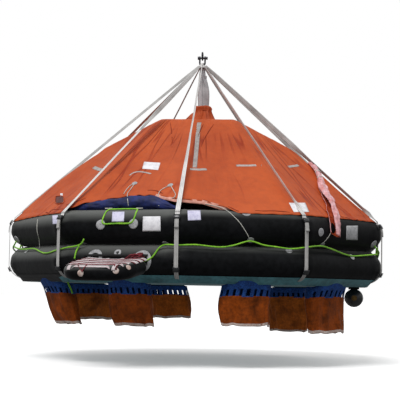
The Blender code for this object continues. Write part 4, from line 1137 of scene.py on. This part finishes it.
def makeCurtain(look, name, side):
    # side is 1 at the front, or -1 for the same curtain half a turn round.
    way = Vector((side, side, 1))
    stops, sizes = zip(*look["roll"])
    places = np.linspace(stops[0], stops[-1], look["steps"])
    grid = []
    for place, radius in zip(places, np.interp(places, stops, sizes)):
        middle, outward = tubeSkin(place, look["angle"], radius * 0.96), Vector(ringOutward(place))
        row = []
        for step, angle in enumerate(circle(look["around"])):
            # A spiral lap, lobes and crumples break the roll's round section.
            c, s = math.cos(angle), math.sin(angle)
            lap = 0.10 * ((step / look["around"] + 0.35) % 1.0) - 0.05
            crumple = wander(place * 9, c * 1.6, s * 1.6) + 0.5 * wander(place * 26, c * 3, s * 3)
            reach = radius * (1 + lap) + look["crumple"] * crumple * min(1.0, radius / 0.05)
            row.append((middle + outward * (reach * 1.02 * c) + Vector((0, 0, reach * 0.98 * s))) * way)
        grid.append(row)
    gridPiece(f"{name}_roll", grid, [navyNylon], wrapV=True, caps=True, slot="curtain_navy", node=name)
    # The lining's folded edge lies between hem and tube.
    grid = []
    for place in np.linspace(look["bandFrom"], look["bandTo"], 60):
        base, hem = tubeSkin(place, 88.0, 0.003), Vector(canopyBase(place, hemShare(place) + 0.012))
        row = []
        for share in (level / 8 for level in range(9)):
            spot = hem.lerp(base, (1 - share) * min(1.0, look["bandHeight"] / (hem - base).length))
            bulge = 0.010 * math.sin(math.pi * share) + 0.008 * wander(place * 14, share * 2.5, 3)
            row.append((spot + Vector(ringOutward(place)) * bulge) * way)
        grid.append(row)
    band = gridPiece(f"{name}_lining", grid, [liningNylon], slot="curtain_navy", node=name)
    thicken(band, look["bandThickness"])


makeCurtain(curtain, "door_curtain_front", 1)
makeCurtain(curtain, "door_curtain_rear", -1)

# Rain sleeve: a limp cloth tube down the canopy, tied at its neck, with an open mouth over the upper tube

sleeve = {
    # Pixel places of its centre line, half its width in metres and its depth, from the neck to the mouth.
    "route": ((311.0, 162.0, 0.016, 0.014), (312.0, 166.0, 0.038, 0.020), (314.5, 171.0, 0.026, 0.018),
              (318.0, 177.0, 0.050, 0.026), (320.0, 184.0, 0.050, 0.028), (322.5, 192.0, 0.062, 0.026),
              (327.0, 201.0, 0.056, 0.024), (330.5, 211.0, 0.068, 0.026), (332.3, 221.0, 0.066, 0.030),
              (332.2, 234.4, 0.064, 0.034)),
    "around": 44, "crumple": 0.010, "lift": 0.004, "slitFrom": 0.36, "gape": 0.30, "thickness": 0.003,
    # The ties' places along the sleeve and their turns.
    "ties": ((0.13, 3), (0.20, 2)), "tieRadius": 0.0045,
}


def aimAt(x, y, *trees):
    # The nearest point that a pixel of the picture sees on these surfaces, with its outward normal.
    # A pixel just past the outline moves in by small steps.
    for step in range(14):
        ray = pixelRay(x + math.copysign(0.5 * step, 199.5 - x), y + 0.5 * step)
        seen = [found for found in (tree.ray_cast(cameraPlace, ray) for tree in trees) if found[0] is not None]
        if seen:
            point, normal, *_ = min(seen, key=lambda found: found[3])
            normal = normal.normalized()
            return point, -normal if normal.dot(ray) > 0 else normal
    raise ValueError(f"pixel {x}, {y} meets nothing")


def makeSleeve(look):
    spots = [(*aimAt(x, y, canopyTree, upperTree), wide, deep) for x, y, wide, deep in look["route"]]
    points, normals, wides, deeps = zip(*spots)
    centres = smoothPath(points, 0.012)
    shares, keys = (np.linspace(0, 1, len(path)) for path in (centres, points))
    wides, deeps = (np.interp(shares, keys, sizes) for sizes in (wides, deeps))
    normals = unit(np.stack([np.interp(shares, keys, [n[k] for n in normals]) for k in range(3)], axis=1))
    tangents = unit(np.gradient(centres, axis=0))
    sides = unit(np.cross(tangents, normals))
    grid = []
    for k, centre in enumerate(centres):
        row = []
        for angle in circle(look["around"]):
            c, s = math.cos(angle), math.sin(angle)
            reach = look["crumple"] * (wander(k * 0.11, c * 1.8, s * 1.8)
                                       + 0.6 * wander(k * 0.34, c * 3.1, s * 3.1 + 5))
            up = deeps[k] * (1 + s) + look["lift"] + reach * max(0.0, s + 0.4)
            row.append(centre + sides[k] * (wides[k] + reach) * c + normals[k] * up)
        grid.append(row)

    def skipFace(i, j):
        # It gapes along its left side, so that its darker inside shows, and ends in a wide mouth.
        share = ((j + 0.5) / look["around"] + 0.5) % 1.0 - 0.5
        gape = np.clip((i / len(grid) - look["slitFrom"]) / look["gape"], 0, 1)
        return 0 < gape and -0.04 < share < -0.03 + 0.22 * gape

    piece = gridPiece("sleeve_cloth", grid, [sleeveNylon, sleeveDark], wrapV=True, skip=skipFace,
                      slot="sleeve_pink", node="rain_sleeve")
    thicken(piece, look["thickness"], 1.0, material_offset=1)
    for place, turns in look["ties"]:
        k = round(place * (len(grid) - 1))
        centre = np.mean(grid[k], axis=0)
        points = []
        for step in range(turns * 12 + 1):
            angle = 2 * math.pi * step / 12
            flat = sides[k] * math.cos(angle) * (wides[k] + 0.004) + normals[k] * math.sin(angle) * (deeps[k] + 0.004)
            points.append(centre + flat + tangents[k] * 0.006 * step / 12)
        ropePiece(f"sleeve_tie_{turns}", points, look["tieRadius"], paleCord, **thinLay)


makeSleeve(sleeve)
print("curtains and sleeve made")

# Boarding ramp: an inflated bow under striped webbing, on the lower tube at the front doorway

ramp = {
    "bearing": 252.0, "tubeAngle": 18.0, "battenRadius": 0.012, "gap": 0.0003, "tilt": 10.0, "bowRadius": 0.0755,
    "halfWidth": 0.30, "reach": 0.47, "corner": 0.15, "matThickness": 0.012, "stripThickness": 0.004,
    # Each strip's middle, outward from the hinge, and its width; the narrow ones are red.
    "strips": ((0.035, 0.052), (0.084, 0.010), (0.132, 0.062), (0.183, 0.010), (0.232, 0.062), (0.284, 0.010),
               (0.334, 0.062), (0.385, 0.010), (0.432, 0.056), (0.474, 0.010), (0.508, 0.036)),
    "crossStrips": (-0.24, -0.08, 0.08, 0.24), "crossWidth": 0.036,
}


def hingeFrame(bearing, tubeAngle, lift, tilt):
    # An origin off the lower tube's skin, with X along the side, Y outward and Z up, tilted down outward.
    turn, lean, angle = (math.radians(degrees) for degrees in (bearing, tilt, tubeAngle))
    outward = np.array((math.cos(turn), math.sin(turn), 0.0))
    along = -sideways(outward)
    up = np.array((0.0, 0.0, 1.0))
    radius = ringRadius * mitre + (tubeRadius + lift) * math.cos(angle)
    origin = outward * radius + up * (lowerZ + (tubeRadius + lift) * math.sin(angle))
    reach = outward * math.cos(lean) - up * math.sin(lean)
    rise = outward * math.sin(lean) + up * math.cos(lean)

    def place(x, y, z):
        return origin + along * x + reach * y + rise * z

    return place, along, reach, rise


def makeRamp(look):
    place, along, reach, rise = hingeFrame(look["bearing"], look["tubeAngle"], look["gap"] + look["battenRadius"],
                                           look["tilt"])
    bowRadius, half, end, corner = (look[key] for key in ("bowRadius", "halfWidth", "reach", "corner"))
    matLow = -look["battenRadius"] - look["gap"] - look["matThickness"]
    line = [(half, 0.045), (half, 0.12), (half, 0.22)]
    for step in range(13):
        angle = math.pi / 2 * step / 12
        line.append((half - corner + corner * math.cos(angle), end - corner + corner * math.sin(angle)))
    line += [(half - corner - 0.06, end + 0.004), (0.0, end + 0.008)]
    line += [(-x, y) for x, y in reversed(line[:-1])]
    path = smoothPath([place(x, y, matLow - bowRadius) for x, y in line], 0.02)
    sides, ups = pathFrames(path, rise)
    rows = []
    for k, spot in enumerate(path):
        # The bow's ends are rounded off.
        fromEnd = min(k, len(path) - 1 - k) * 0.02
        radius = bowRadius * math.sqrt(max(0.05, 1 - max(0.0, 1 - fromEnd / 0.06) ** 2))
        row = []
        for angle in circle(36):
            c, s = math.cos(angle), math.sin(angle)
            row.append(spot + radius * (1 + 0.02 * wander(k * 0.13, c, s)) * (c * sides[k] + s * ups[k]))
        rows.append(row)
    bow = gridPiece("ramp_bow", rows, [blackRubber], wrapV=True, caps=True, body="ramp", slot="rubber_black",
                    node="ramp_tube")
    top = matLow + look["stripThickness"] / 2
    webbing = {"body": "ramp", "slot": "ramp_webbing", "node": "ramp_mat"}
    for number, (y, width) in enumerate(look["strips"]):
        # A strip lies over the bow's two sides, sags between them and wraps a little way round.
        narrow = width < 0.03
        edge = half + bowRadius * 0.72
        spots = []
        for x in (-edge + 2 * edge * step / 48 for step in range(49)):
            sags = abs(x) < half - 0.04 and y <= end - 0.02
            sag = -0.012 * math.cos(math.pi * x / (2 * (half - 0.04))) if sags else 0.0
            drop = bowRadius - math.sqrt(max(0.0, bowRadius ** 2 - max(0.0, abs(x) - half) ** 2))
            spots.append((x, y, top + sag - drop))
        if y > end - corner:
            # The bow's rounded corners shorten the outer strips.
            short = half - corner + math.sqrt(max(0.0, (corner + 0.05) ** 2 - (y - (end - corner)) ** 2))
            spots = [spot for spot in spots if abs(spot[0]) < short - 0.03]
            (ax, ay, az), (bx, by, bz) = spots[0], spots[-1]
            spots = [(ax - 0.03, ay - 0.004, az - 0.02)] + spots + [(bx + 0.03, by - 0.004, bz - 0.02)]
        waver = [(x, v + 0.003 * math.sin(x * 14 + number), w + (0.0035 if narrow else 0.0)) for x, v, w in spots]
        path = smoothPath([place(*spot) for spot in waver], 0.014)
        if y > end + 0.02:
            path = path + rise * -0.010 + reach * 0.006
        over = max(0.0, y - end) * 9
        strapPiece(f"ramp_strip_{number + 1:02d}", path, reach * math.cos(over) - rise * math.sin(over), width,
                   look["stripThickness"], redWebbing if narrow else pinkWebbing, **webbing)
    for number, x in enumerate(look["crossStrips"]):
        sag = 0.011 if abs(x) < 0.1 else 0.004
        line = [(x, 0.005 + 0.02 * k, top - 0.006 - sag * math.sin(math.pi * min(1.0, k / 22))) for k in range(23)]
        line += [(x, end + 0.020, top - 0.007), (x, end + 0.045, top - 0.024), (x, end + 0.058, top - 0.044)]
        strapPiece(f"ramp_cross_{number + 1}", smoothPath([place(*spot) for spot in line], 0.012), along,
                   look["crossWidth"], look["stripThickness"], pinkWebbing, **webbing)
    return treeOf(bow)


bowTree = makeRamp(ramp)

# Boarding ladder at the rear doorway: webbing side straps and flat steps

ladder = {"bearing": 72.0, "battenRadius": 0.010, "gap": 0.0003, "halfWidth": 0.19, "strap": 0.040, "rung": 0.035,
          "step": 0.20, "steps": 2, "thickness": 0.0045, "sway": 0.002, "rungSag": 0.004}


def makeLadder(look):
    place, along, _, rise = hingeFrame(look["bearing"], 0.0, look["gap"] + look["battenRadius"], 0.0)
    top = -look["battenRadius"] - look["gap"]
    pitch = look["step"] + look["rung"]
    low = top - look["rung"] - look["steps"] * pitch
    webbing = {"body": "ladder", "slot": "webbing_white", "node": "boarding_ladder"}
    for side, name in ((-1, "left"), (1, "right")):
        middle = side * (look["halfWidth"] - look["strap"] / 2)
        line = [(middle, 0.0, top)] + [(middle + look["sway"] * math.sin(k * 1.3 + side), 0.0015 * math.sin(k * 0.9),
                                        top + (low - top) * k / 12) for k in range(1, 13)]
        strapPiece(f"ladder_side_{name}", smoothPath([place(*spot) for spot in line], 0.02), along, look["strap"],
                   look["thickness"], whiteWebbing, **webbing)
    for step in range(look["steps"] + 1):
        # The top rung is held straight at the beckets.
        level = top - look["rung"] / 2 - (step * pitch if step else 0.002)
        sag = look["rungSag"] if step else 0.0
        line = [(look["halfWidth"] * (k / 8 - 1), 0.0055, level - sag * math.sin(math.pi * k / 16))
                for k in range(17)]
        strapPiece(f"ladder_step_{step + 1}", smoothPath([place(*spot) for spot in line], 0.02), rise, look["rung"],
                   look["thickness"] * 1.2, whiteWebbing, **webbing)


makeLadder(ladder)
print("ramp and ladder made")

# Trim on the skins: tapes, panels and patches that are placed where the picture shows them

trimLift = 0.0012


def turnedCopy(piece, name, slot=None):
    # The same piece on the far side of the raft, half a turn round.
    mesh = piece.data.copy()
    mesh.transform(Matrix.Rotation(math.pi, 4, "Z"))
    return placePiece(name, mesh, "raft", slot)


def trimSheet(name, grid, material, thickness, rear=None, **options):
    piece = thicken(gridPiece(name, grid, [material], **options), thickness)
    if rear:
        turnedCopy(piece, rear, options.get("slot"))


def settle(point, tree, lift):
    # Moves a point onto a skin and lifts it off by this much.
    spot, normal, _, _ = tree.find_nearest(Vector(point))
    away = Vector(point) - spot
    if normal.dot(away) < 0 and away.length > 0.004:
        normal = -normal
    if normal.dot(cameraPlace - spot) < 0 and abs(normal.z) < 0.98:
        normal = -normal
    return spot + normal * lift


def tapeOnSkin(name, pixels, width, material, thickness=0.0012, slot=None, pointed=False):
    # A strip on the canopy through these pixels; a pointed one narrows to both ends.
    path = smoothPath([aimAt(x, y, canopyTree)[0] for x, y in pixels], 0.02)
    normals = np.array([canopyTree.find_nearest(Vector(p))[1] for p in path])
    sides = unit(np.cross(unit(np.gradient(path, axis=0)), normals))
    grid = []
    for k, (spot, side) in enumerate(zip(path, sides)):
        wide = width * (0.1 + 0.9 * max(0.0, math.sin(math.pi * k / (len(path) - 1))) ** 0.6) if pointed else width
        grid.append([settle(spot + side * wide * (j / 4 - 0.5), canopyTree, trimLift) for j in range(5)])
    trimSheet(name, grid, material, thickness, f"{name}_rear", slot=slot)


def panelOnSkin(name, corners, tree, material, thickness=0.0015):
    # corners: the picture's pixels, clockwise from top left.
    a, b, c, d = (np.array(corner) for corner in corners)
    grid = []
    for u in (i / 10 for i in range(11)):
        row = []
        for v in (j / 10 for j in range(11)):
            spot, normal = aimAt(*((a * (1 - u) + b * u) * (1 - v) + (d * (1 - u) + c * u) * v), tree)
            row.append(spot + normal * (trimLift + thickness / 2))
        grid.append(row)
    trimSheet(name, grid, material, thickness, f"{name}_rear")


def roundPatch(name, centre, normal, radius, tree, rear=None, material=patchRubber, inner=0.0, thickness=0.004,
               body="raft"):
    # A disc or ring of sheet that follows the skin round a point.
    normal = Vector(normal).normalized()
    side = normal.orthogonal().normalized()
    up = normal.cross(side)
    least = max(inner, radius * 0.02)
    grid = []
    for reach in (least + (radius - least) * ring / 5 for ring in range(6)):
        row = []
        for angle in circle(36):
            flat = Vector(centre) + side * reach * math.cos(angle) + up * reach * math.sin(angle)
            found = tree.ray_cast(flat + normal * 0.12, -normal, 0.35)
            row.append((flat if found[0] is None else found[0]) + normal * (trimLift + thickness / 2))
        grid.append(row)
    trimSheet(name, grid, material, thickness, rear, wrapV=True, body=body)


reflectiveTapes = {
    # Pixel places along each tape, and its width in metres.
    "tape_spine": (((199.3, 122.5), (198.2, 130), (196.6, 148), (194.7, 167.5)), 0.046),
    "tape_centre": (((183, 169.2), (195, 169.4), (206.7, 169.4)), 0.040),
    "tape_right": (((236.2, 165.6), (249, 165.6), (261.6, 165.4)), 0.034),
    "tape_far_right": (((288.4, 166.8), (298, 165.2), (307.5, 163.4)), 0.034),
    "tape_left": (((93.8, 167.2), (101, 170), (108.4, 173.3)), 0.045),
    "tape_curled": (((129.5, 175.5), (133, 173.0), (138, 171.8), (145, 172.4), (151, 173.8)), 0.020),
}
for name, (pixels, width) in reflectiveTapes.items():
    tapeOnSkin(name, pixels, width, reflectiveTape)

# Tucks: where the cloth is pulled at the hems it doubles over; thin dark red strips on the skin are its painted
# shade.

tuckShades = {
    "tuck_over_roll": (((147.5, 190.2), (152.0, 190.2), (157.5, 191.2), (163.0, 193.6)), 0.012),
    "tuck_hem_left": (((203.5, 199.6), (210.0, 202.2), (217.0, 205.0), (224.0, 208.0)), 0.016),
    "tuck_hem_mid": (((228.0, 206.4), (233.0, 208.8), (239.0, 211.4)), 0.014),
    "tuck_right": (((255.0, 210.6), (266.0, 211.0), (278.0, 211.2), (290.0, 212.4)), 0.012),
    "tuck_far_right": (((335.0, 215.6), (346.0, 217.4), (358.0, 219.6), (370.0, 222.0)), 0.012),
    "tuck_left": (((66.0, 205.0), (76.0, 201.6), (86.0, 198.0)), 0.012),
    "tuck_corner": (((40.5, 216.6), (46.0, 212.4), (52.0, 210.0), (60.0, 209.2), (68.0, 208.4)), 0.014),
    "tuck_fan_left": (((203.5, 124.0), (200.6, 130.0), (197.8, 137.0)), 0.008),
    "tuck_fan_right": (((214.0, 124.0), (209.0, 131.0), (203.8, 140.0), (201.0, 147.0)), 0.009),
    "tuck_slope": (((170.0, 121.0), (171.6, 132.0), (172.4, 143.0)), 0.008),
}
for name, (pixels, width) in tuckShades.items():
    tapeOnSkin(name, pixels, width, tuckShadeNylon, thickness=0.0025, slot="canopy_orange", pointed=True)

panels = {
    "label_blank": (((144.1, 161.9), (160.5, 162.9), (158.2, 170.2), (142.2, 168.9)), canopyTree, whiteVinyl),
    "panel_white": (((288.8, 202.9), (305.2, 202.9), (309.2, 212.2), (293.8, 212.2)), canopyTree, whiteVinyl),
    "tube_label_left": (((52.4, 215.6), (57.9, 215.2), (58.6, 223.8), (52.8, 224.4)), upperTree, blueVinyl),
    "tube_label_loop": (((112.4, 211.9), (124.5, 211.7), (124.0, 221.6), (111.8, 221.8)), upperTree, blueVinyl),
    "tube_label_wide": (((143.0, 216.6), (160.5, 216.4), (160.7, 231.2), (142.6, 231.2)), upperTree, whiteVinyl),
    "tube_label_right": (((187.4, 210.6), (200.4, 210.4), (201.0, 220.2), (188.0, 220.6)), upperTree, blueVinyl),
    "tube_patch_right": (((346.4, 225.9), (357.8, 225.7), (357.4, 240.1), (346.0, 239.8)), upperTree, patchRubber),
}
for name, (corners, tree, material) in panels.items():
    panelOnSkin(name, corners, tree, material)

# A small dark look-out port with a corded edge and a pale flap

port = {"corners": ((55.8, 196.4), (63.2, 196.6), (63.6, 203.0), (55.6, 203.2)), "filmThickness": 0.002,
        "flap": ((60.2, 193.6), (62.6, 193.4), (63.0, 196.2), (60.6, 196.4)), "edgeRadius": 0.006}


def onSkin(pixels, lift, *trees):
    return [point + normal * lift for point, normal in (aimAt(x, y, *trees) for x, y in pixels)]


def makePort(look):
    panelOnSkin("port_film", look["corners"], canopyTree, portFilm, look["filmThickness"])
    edge, _ = ropePiece("port_edge", onSkin((*look["corners"], look["corners"][0]), 0.004, canopyTree),
                        look["edgeRadius"], orangeNylon, layLength=0.2, around=8, spacing=0.012)
    turnedCopy(edge, "port_edge_rear")
    panelOnSkin("port_flap", look["flap"], canopyTree, whiteVinyl)


makePort(port)
print("tapes and panels made")

# Lifelines and grab loops: lime rope through rubber patches, slack between them

rope = {"radius": 0.0085, "lift": 0.0095, "patchRadius": 0.050, "tieRadius": 0.006, "tieLift": 0.016}

# Rope bridges the groove between the tubes, as if a low wall stood in it.
grooveRadius = ringRadius + tubeRadius * math.cos(math.radians(40)) / mitre
grooveTree = BVHTree.FromPolygons(
    [(*cornerAt(index, grooveRadius), z) for z in (lowerZ, upperZ) for index in range(ringSides)],
    [(k, (k + 1) % ringSides, (k + 1) % ringSides + ringSides, k + ringSides) for k in range(ringSides)])


def declareCord(piece, path, radius):
    tuple(path[0])
    [tuple(p) for p in path]


def layCord(name, spots, radius, material, both=True, lay="hanging", farEnd="object", **options):
    piece, path = ropePiece(name, spots, radius, material, **options)
    declareCord(piece, path, radius)
    if both:
        declareCord(turnedCopy(piece, f"{name}_rear"), path * np.array((-1, -1, 1)), radius)


def lineOnTubes(name, pixels, radius, material, trees=(upperTree, lowerTree), lift=None):
    line = smoothPath([(x, y, 0.0) for x, y in pixels], 3.0)[:, :2]
    spots = onSkin(line, radius * 1.1 if lift is None else lift, *trees, grooveTree)
    # Small kinks are eased, because rope doesn't bend sharply.
    for _ in range(2):
        spots = [spots[0]] + [(a + b * 2 + c) / 4 for a, b, c in zip(spots, spots[1:], spots[2:])] + [spots[-1]]
    layCord(name, spots, radius, material)


def patchAt(name, rear, pixel, radius, tree, **options):
    roundPatch(name, *aimAt(*pixel, tree), radius, tree, rear, **options)


grabLoop = {
    "patches": ((100.7, 224.7), (133.5, 223.8)),
    "route": ((107.5, 207.8), (106.5, 210.5), (104.6, 216.0), (102.0, 221.8), (101.5, 224.0), (108.0, 224.2),
              (117.0, 223.6), (126.5, 223.8), (132.6, 223.4), (133.8, 221.5), (135.4, 216.0), (137.2, 210.0),
              (137.3, 207.6), (130.0, 208.0), (122.0, 208.9), (114.0, 208.6), (107.5, 207.8)),
    "ends": (((104.8, 209.6), (106.3, 208.2), (108.4, 205.9)), ((136.0, 209.4), (137.0, 207.6), (138.6, 205.4))),
}
lineOnTubes("grab_loop", grabLoop["route"], rope["radius"], limeRope, (upperTree,))
for number, pixel in enumerate(grabLoop["patches"]):
    patchAt(f"grab_patch_{number + 1}", f"grab_patch_rear_{number + 1}", pixel, rope["patchRadius"], upperTree)
for number, pixels in enumerate(grabLoop["ends"]):
    lineOnTubes(f"grab_tie_{number + 1}", pixels, rope["tieRadius"], paleCord, (upperTree,), rope["tieLift"])

lifelines = {
    "lifeline_left": ((14.5, 246.5), (18.0, 248.6), (26.8, 249.6), (35.5, 248.0), (40.0, 252.0), (46.9, 254.0),
                      (56.2, 250.8), (60.0, 249.6), (67.0, 247.5), (77.7, 246.0), (83.0, 243.4), (84.4, 238.8)),
    "lifeline_drop": ((80.0, 245.6), (78.6, 247.5), (76.6, 251.0), (75.7, 254.5), (75.0, 259.0)),
    "lifeline_right": ((132.6, 263.8), (138.0, 262.6), (147.3, 260.6), (153.3, 257.0), (157.0, 251.5),
                       (160.7, 246.4), (166.0, 244.3), (172.0, 244.9), (179.5, 245.2), (195.0, 244.7),
                       (208.0, 246.2), (221.0, 247.3), (234.0, 245.3), (243.0, 242.4), (250.0, 240.8),
                       (256.0, 242.6), (264.0, 245.4), (273.4, 246.6), (289.0, 248.9), (298.0, 248.4),
                       (306.0, 247.3), (314.0, 246.2), (321.8, 246.0), (329.0, 248.4), (336.2, 251.2),
                       (344.0, 254.4), (351.9, 256.2), (363.6, 255.4), (374.0, 254.5), (379.0, 252.5)),
}
for name, pixels in lifelines.items():
    lineOnTubes(name, pixels, rope["radius"], limeRope)

# Between the two pixel-placed stretches the lifeline goes on round the ends in even bights.

endBights = {"from": 1.96, "to": 3.06, "bights": 3, "highAngle": -36.0, "lowAngle": 38.0}


def makeEndBights(look):
    points = []
    for k, place in enumerate(np.linspace(look["from"], look["to"], look["bights"] * 12 + 1)):
        sag = math.sin(math.pi * (k % 12) / 12) ** 0.8
        high = tubeSkin(place, look["highAngle"], rope["lift"], True)
        points.append(high.lerp(tubeSkin(place, look["lowAngle"], rope["lift"], False), 0.1 + 0.85 * sag))
    layCord("lifeline_end", points, rope["radius"], limeRope)
    for number in range(look["bights"] + 1):
        place = look["from"] + (look["to"] - look["from"]) * number / look["bights"]
        spot = tubeSkin(place, look["highAngle"], 0.0, True)
        roundPatch(f"lifeline_end_patch_{number + 1}", spot, spot - Vector((*ringCentre(place), upperZ)),
                   rope["patchRadius"] * 0.9, upperTree, f"lifeline_end_patch_rear_{number + 1}")


makeEndBights(endBights)

ropeAnchors = {"upper": (upperTree, ((84.0, 243.6), (165.5, 242.8), (250.6, 240.2), (321.8, 244.6))),
               "lower": (lowerTree, ((27.0, 251.0), (351.9, 257.0), (289.0, 251.0)))}
anchorRadius = 0.034
for level, (tree, pixels) in ropeAnchors.items():
    for number, pixel in enumerate(pixels):
        patchAt(f"rope_anchor_{level}_{number + 1}", f"rope_anchor_{level}_rear_{number + 1}", pixel, anchorRadius,
                tree)

patches = {
    # Pixel place, outer and inner radius in metres, skin and thickness.
    "ring_patch_left": ((95.0, 257.2), 0.082, 0.044, lowerTree, 0.006),
    "ring_patch_small": ((117.9, 252.9), 0.038, 0.016, lowerTree, 0.006),
    "ring_patch_right": ((142.0, 260.6), 0.102, 0.062, lowerTree, 0.006),
    "door_patch": ((246.0, 213.4), 0.046, 0.0, upperTree, 0.003),
    "sleeve_patch": ((321.0, 232.3), 0.042, 0.0, upperTree, 0.003),
    "tie_patch_left": ((134.6, 183.5), 0.030, 0.0, canopyTree, 0.003),
    "tie_patch_right": ((170.3, 185.2), 0.030, 0.0, canopyTree, 0.003),
}
for name, (pixel, radius, inner, tree, thickness) in patches.items():
    patchAt(name, f"{name}_rear", pixel, radius, tree, inner=inner, thickness=thickness)
print("lifelines and patches made")

# Cords: the curtain's ties hang from their patches over the roll, and two pale lines lie on the tube

cords = {
    "tie_left_long": ((133.9, 185.2), (130.6, 190.0), (127.6, 194.4), (127.9, 200.0), (128.6, 205.9)),
    "tie_left_short": ((133.4, 184.6), (130.4, 186.0), (127.0, 189.6), (123.7, 194.4)),
    "tie_right_long": ((169.4, 186.4), (164.0, 188.6), (160.0, 191.8), (158.2, 197.0), (158.8, 205.9)),
    "tie_right_loop": ((171.0, 186.4), (173.2, 190.2), (175.6, 194.6), (174.6, 197.6), (172.0, 198.6)),
    "line_door": ((205.0, 204.0), (219.8, 207.4), (227.4, 211.4), (234.2, 217.2), (239.8, 223.0), (244.0, 229.0),
                  (247.6, 234.8), (250.0, 240.0)),
    "line_left": ((38.0, 219.8), (37.5, 225.0), (37.5, 229.8), (38.3, 234.4), (39.5, 239.0), (40.0, 248.6)),
}
cordRadius, cordLift = 0.0042, 0.0052
doorTrees = [treeOf(bpy.data.objects[f"door_curtain_front_{part}"]) for part in ("roll", "lining")]
for name, pixels in cords.items():
    trees = (canopyTree, upperTree, lowerTree) if name == "line_left" else (canopyTree, upperTree, *doorTrees)
    layCord(name, onSkin(pixels, cordLift, *trees), cordRadius, paleCord,
            farEnd="bare" if "tie" in name else "object", **thinLay)

# A short end of lime rope hangs from under the tube before a pocket, and a thin cord leaves the sleeve's mouth.

looseEnds = {
    "rope_end": {"behind": (70.0, 288.0), "before": 0.022, "radius": 0.010,
                 "route": ((67.6, 280.0), (68.2, 283.0), (69.6, 286.5), (71.4, 290.0), (72.3, 293.4))},
    "sleeve_line": {"radius": 0.0035, "lift": 0.0045,
                    "route": ((330.3, 232.6), (328.6, 236.0), (325.8, 239.6), (322.5, 243.0))},
}
look = looseEnds["rope_end"]
spot, _ = aimAt(*look["behind"], *[treeOf(bpy.data.objects[f"pocket_bag_{number}"]) for number in (1, 2, 7)])
away = (spot - cameraPlace).length - look["before"]
layCord("rope_end", [cameraPlace + pixelRay(x, y) * away for x, y in look["route"]], look["radius"], limeRope,
        both=False, farEnd="bare")
look = looseEnds["sleeve_line"]
layCord("sleeve_line", onSkin(look["route"], look["lift"], treeOf(bpy.data.objects["sleeve_cloth"]), upperTree),
        look["radius"], paleCord, both=False, **thinLay)

# Ramp lacing: white ovals under the bow, red ties to the mat, and a heap of red rope by the hinge

rampLacing = {
    "ovals": ((80.6, 273.2, 0.033), (115.8, 270.8, 0.030), (128.4, 267.4, 0.026)),
    "ties": (((78.0, 265.6), (80.6, 269.4), (83.0, 272.0)), ((87.0, 265.4), (84.4, 268.6), (82.2, 272.0)),
             ((112.6, 263.4), (114.6, 267.0), (116.0, 270.0)), ((119.4, 262.8), (117.4, 266.4), (116.2, 270.0))),
    "tieRadius": 0.0055, "tieLift": 0.008,
    # The heap's middle in pixels, its steps, turns, width and rope.
    "heapAt": (135.0, 258.4), "heapSteps": 150, "heapTurns": 3.3, "heapWidth": 10.0, "heapRadius": 0.0085,
}
for number, (x, y, radius) in enumerate(rampLacing["ovals"]):
    patchAt(f"ramp_oval_{number + 1}", None, (x, y), radius, bowTree, material=hemNylon, body="ramp")
for number, pixels in enumerate(rampLacing["ties"]):
    ropePiece(f"ramp_tie_{number + 1}", onSkin(pixels, rampLacing["tieLift"], bowTree), rampLacing["tieRadius"],
              redRope, body="ramp", **thinLay)


def makeRopeHeap(look):
    # Turn upon turn piles up, and each one lies on those below it.
    radius = look["heapRadius"]
    points = []
    for step in range(look["heapSteps"]):
        share = step / (look["heapSteps"] - 1)
        turn = 2 * math.pi * look["heapTurns"] * share
        along = (look["heapWidth"] - 2.5 * share) * math.cos(turn) + 1.0 * math.sin(turn * 2.7)
        pixel = (look["heapAt"][0] + along,
                 look["heapAt"][1] - 0.30 * along + 2.0 * math.sin(turn) + 0.7 * math.cos(turn * 1.7))
        points += onSkin([pixel], radius * (1.1 + 5.2 * share + 0.5 * math.sin(step * 0.9)), lowerTree)
    layCord("ramp_rope_heap", points, radius, redRope, both=False, lay="coiled", farEnd="bare", layLength=0.05,
            spacing=0.010)


makeRopeHeap(rampLacing)
print("cords and lacing made")

# Stage: a pale floor under the hanging raft, soft daylight from above

stageLook = {"floorZ": cadLow.z - 0.30, "floorSize": 240.0, "sky": 0.74, "ground": 0.20, "key": 1.9,
             "keyTurn": (38.0, 0.0, -14.0), "keySize": 30.0, "paperGlow": 0.25}


def makeStage(look):
    half = look["floorSize"] / 2
    white = linearColour("#FFFFFF")
    paper, *_ = newMaterial("paleStudioPaper", 0.9, Base_Color=linearColour("#F9F9F9"), Emission_Color=white,
                            Emission_Strength=look["paperGlow"])
    floor = makePiece("stage_floor", [(-half, -half, 0), (half, -half, 0), (half, half, 0), (-half, half, 0)],
                      [(0, 1, 2, 3)], [paper], body=None)
    floor.location.z = look["floorZ"]
    # The floor takes the raft's shadow but throws no light up under it.
    floor.visible_diffuse = False
    floor.visible_glossy = False
    world = bpy.data.worlds.new("softDaylight")
    bpy.context.scene.world = world
    world.use_nodes = True
    tree = world.node_tree
    background = tree.nodes["Background"]
    background.inputs["Color"].default_value = white
    coords = addNode(tree, "TexCoord")
    split = addNode(tree, "SeparateXYZ", links={"Vector": coords.outputs["Generated"]})
    height = addNode(tree, "MapRange", {"From Min": -0.15, "From Max": 0.55, "To Min": look["ground"],
                                        "To Max": look["sky"]}, {"Value": split.outputs["Z"]})
    rays = addNode(tree, "LightPath")
    seen = addNode(tree, "Mix", {3: 1.0}, {0: rays.outputs["Is Camera Ray"], 2: height.outputs["Result"]},
                   data_type="FLOAT")
    tree.links.new(seen.outputs[0], background.inputs["Strength"])
    key = bpy.data.lights.new("soft_key", "SUN")
    key.energy = look["key"]
    key.angle = math.radians(look["keySize"])
    lamp = bpy.data.objects.new("soft_key", key)
    lamp.rotation_euler = [math.radians(turn) for turn in look["keyTurn"]]
    bpy.context.scene.collection.objects.link(lamp)
    bpy.context.scene.view_settings.view_transform = "Standard"


makeStage(stageLook)
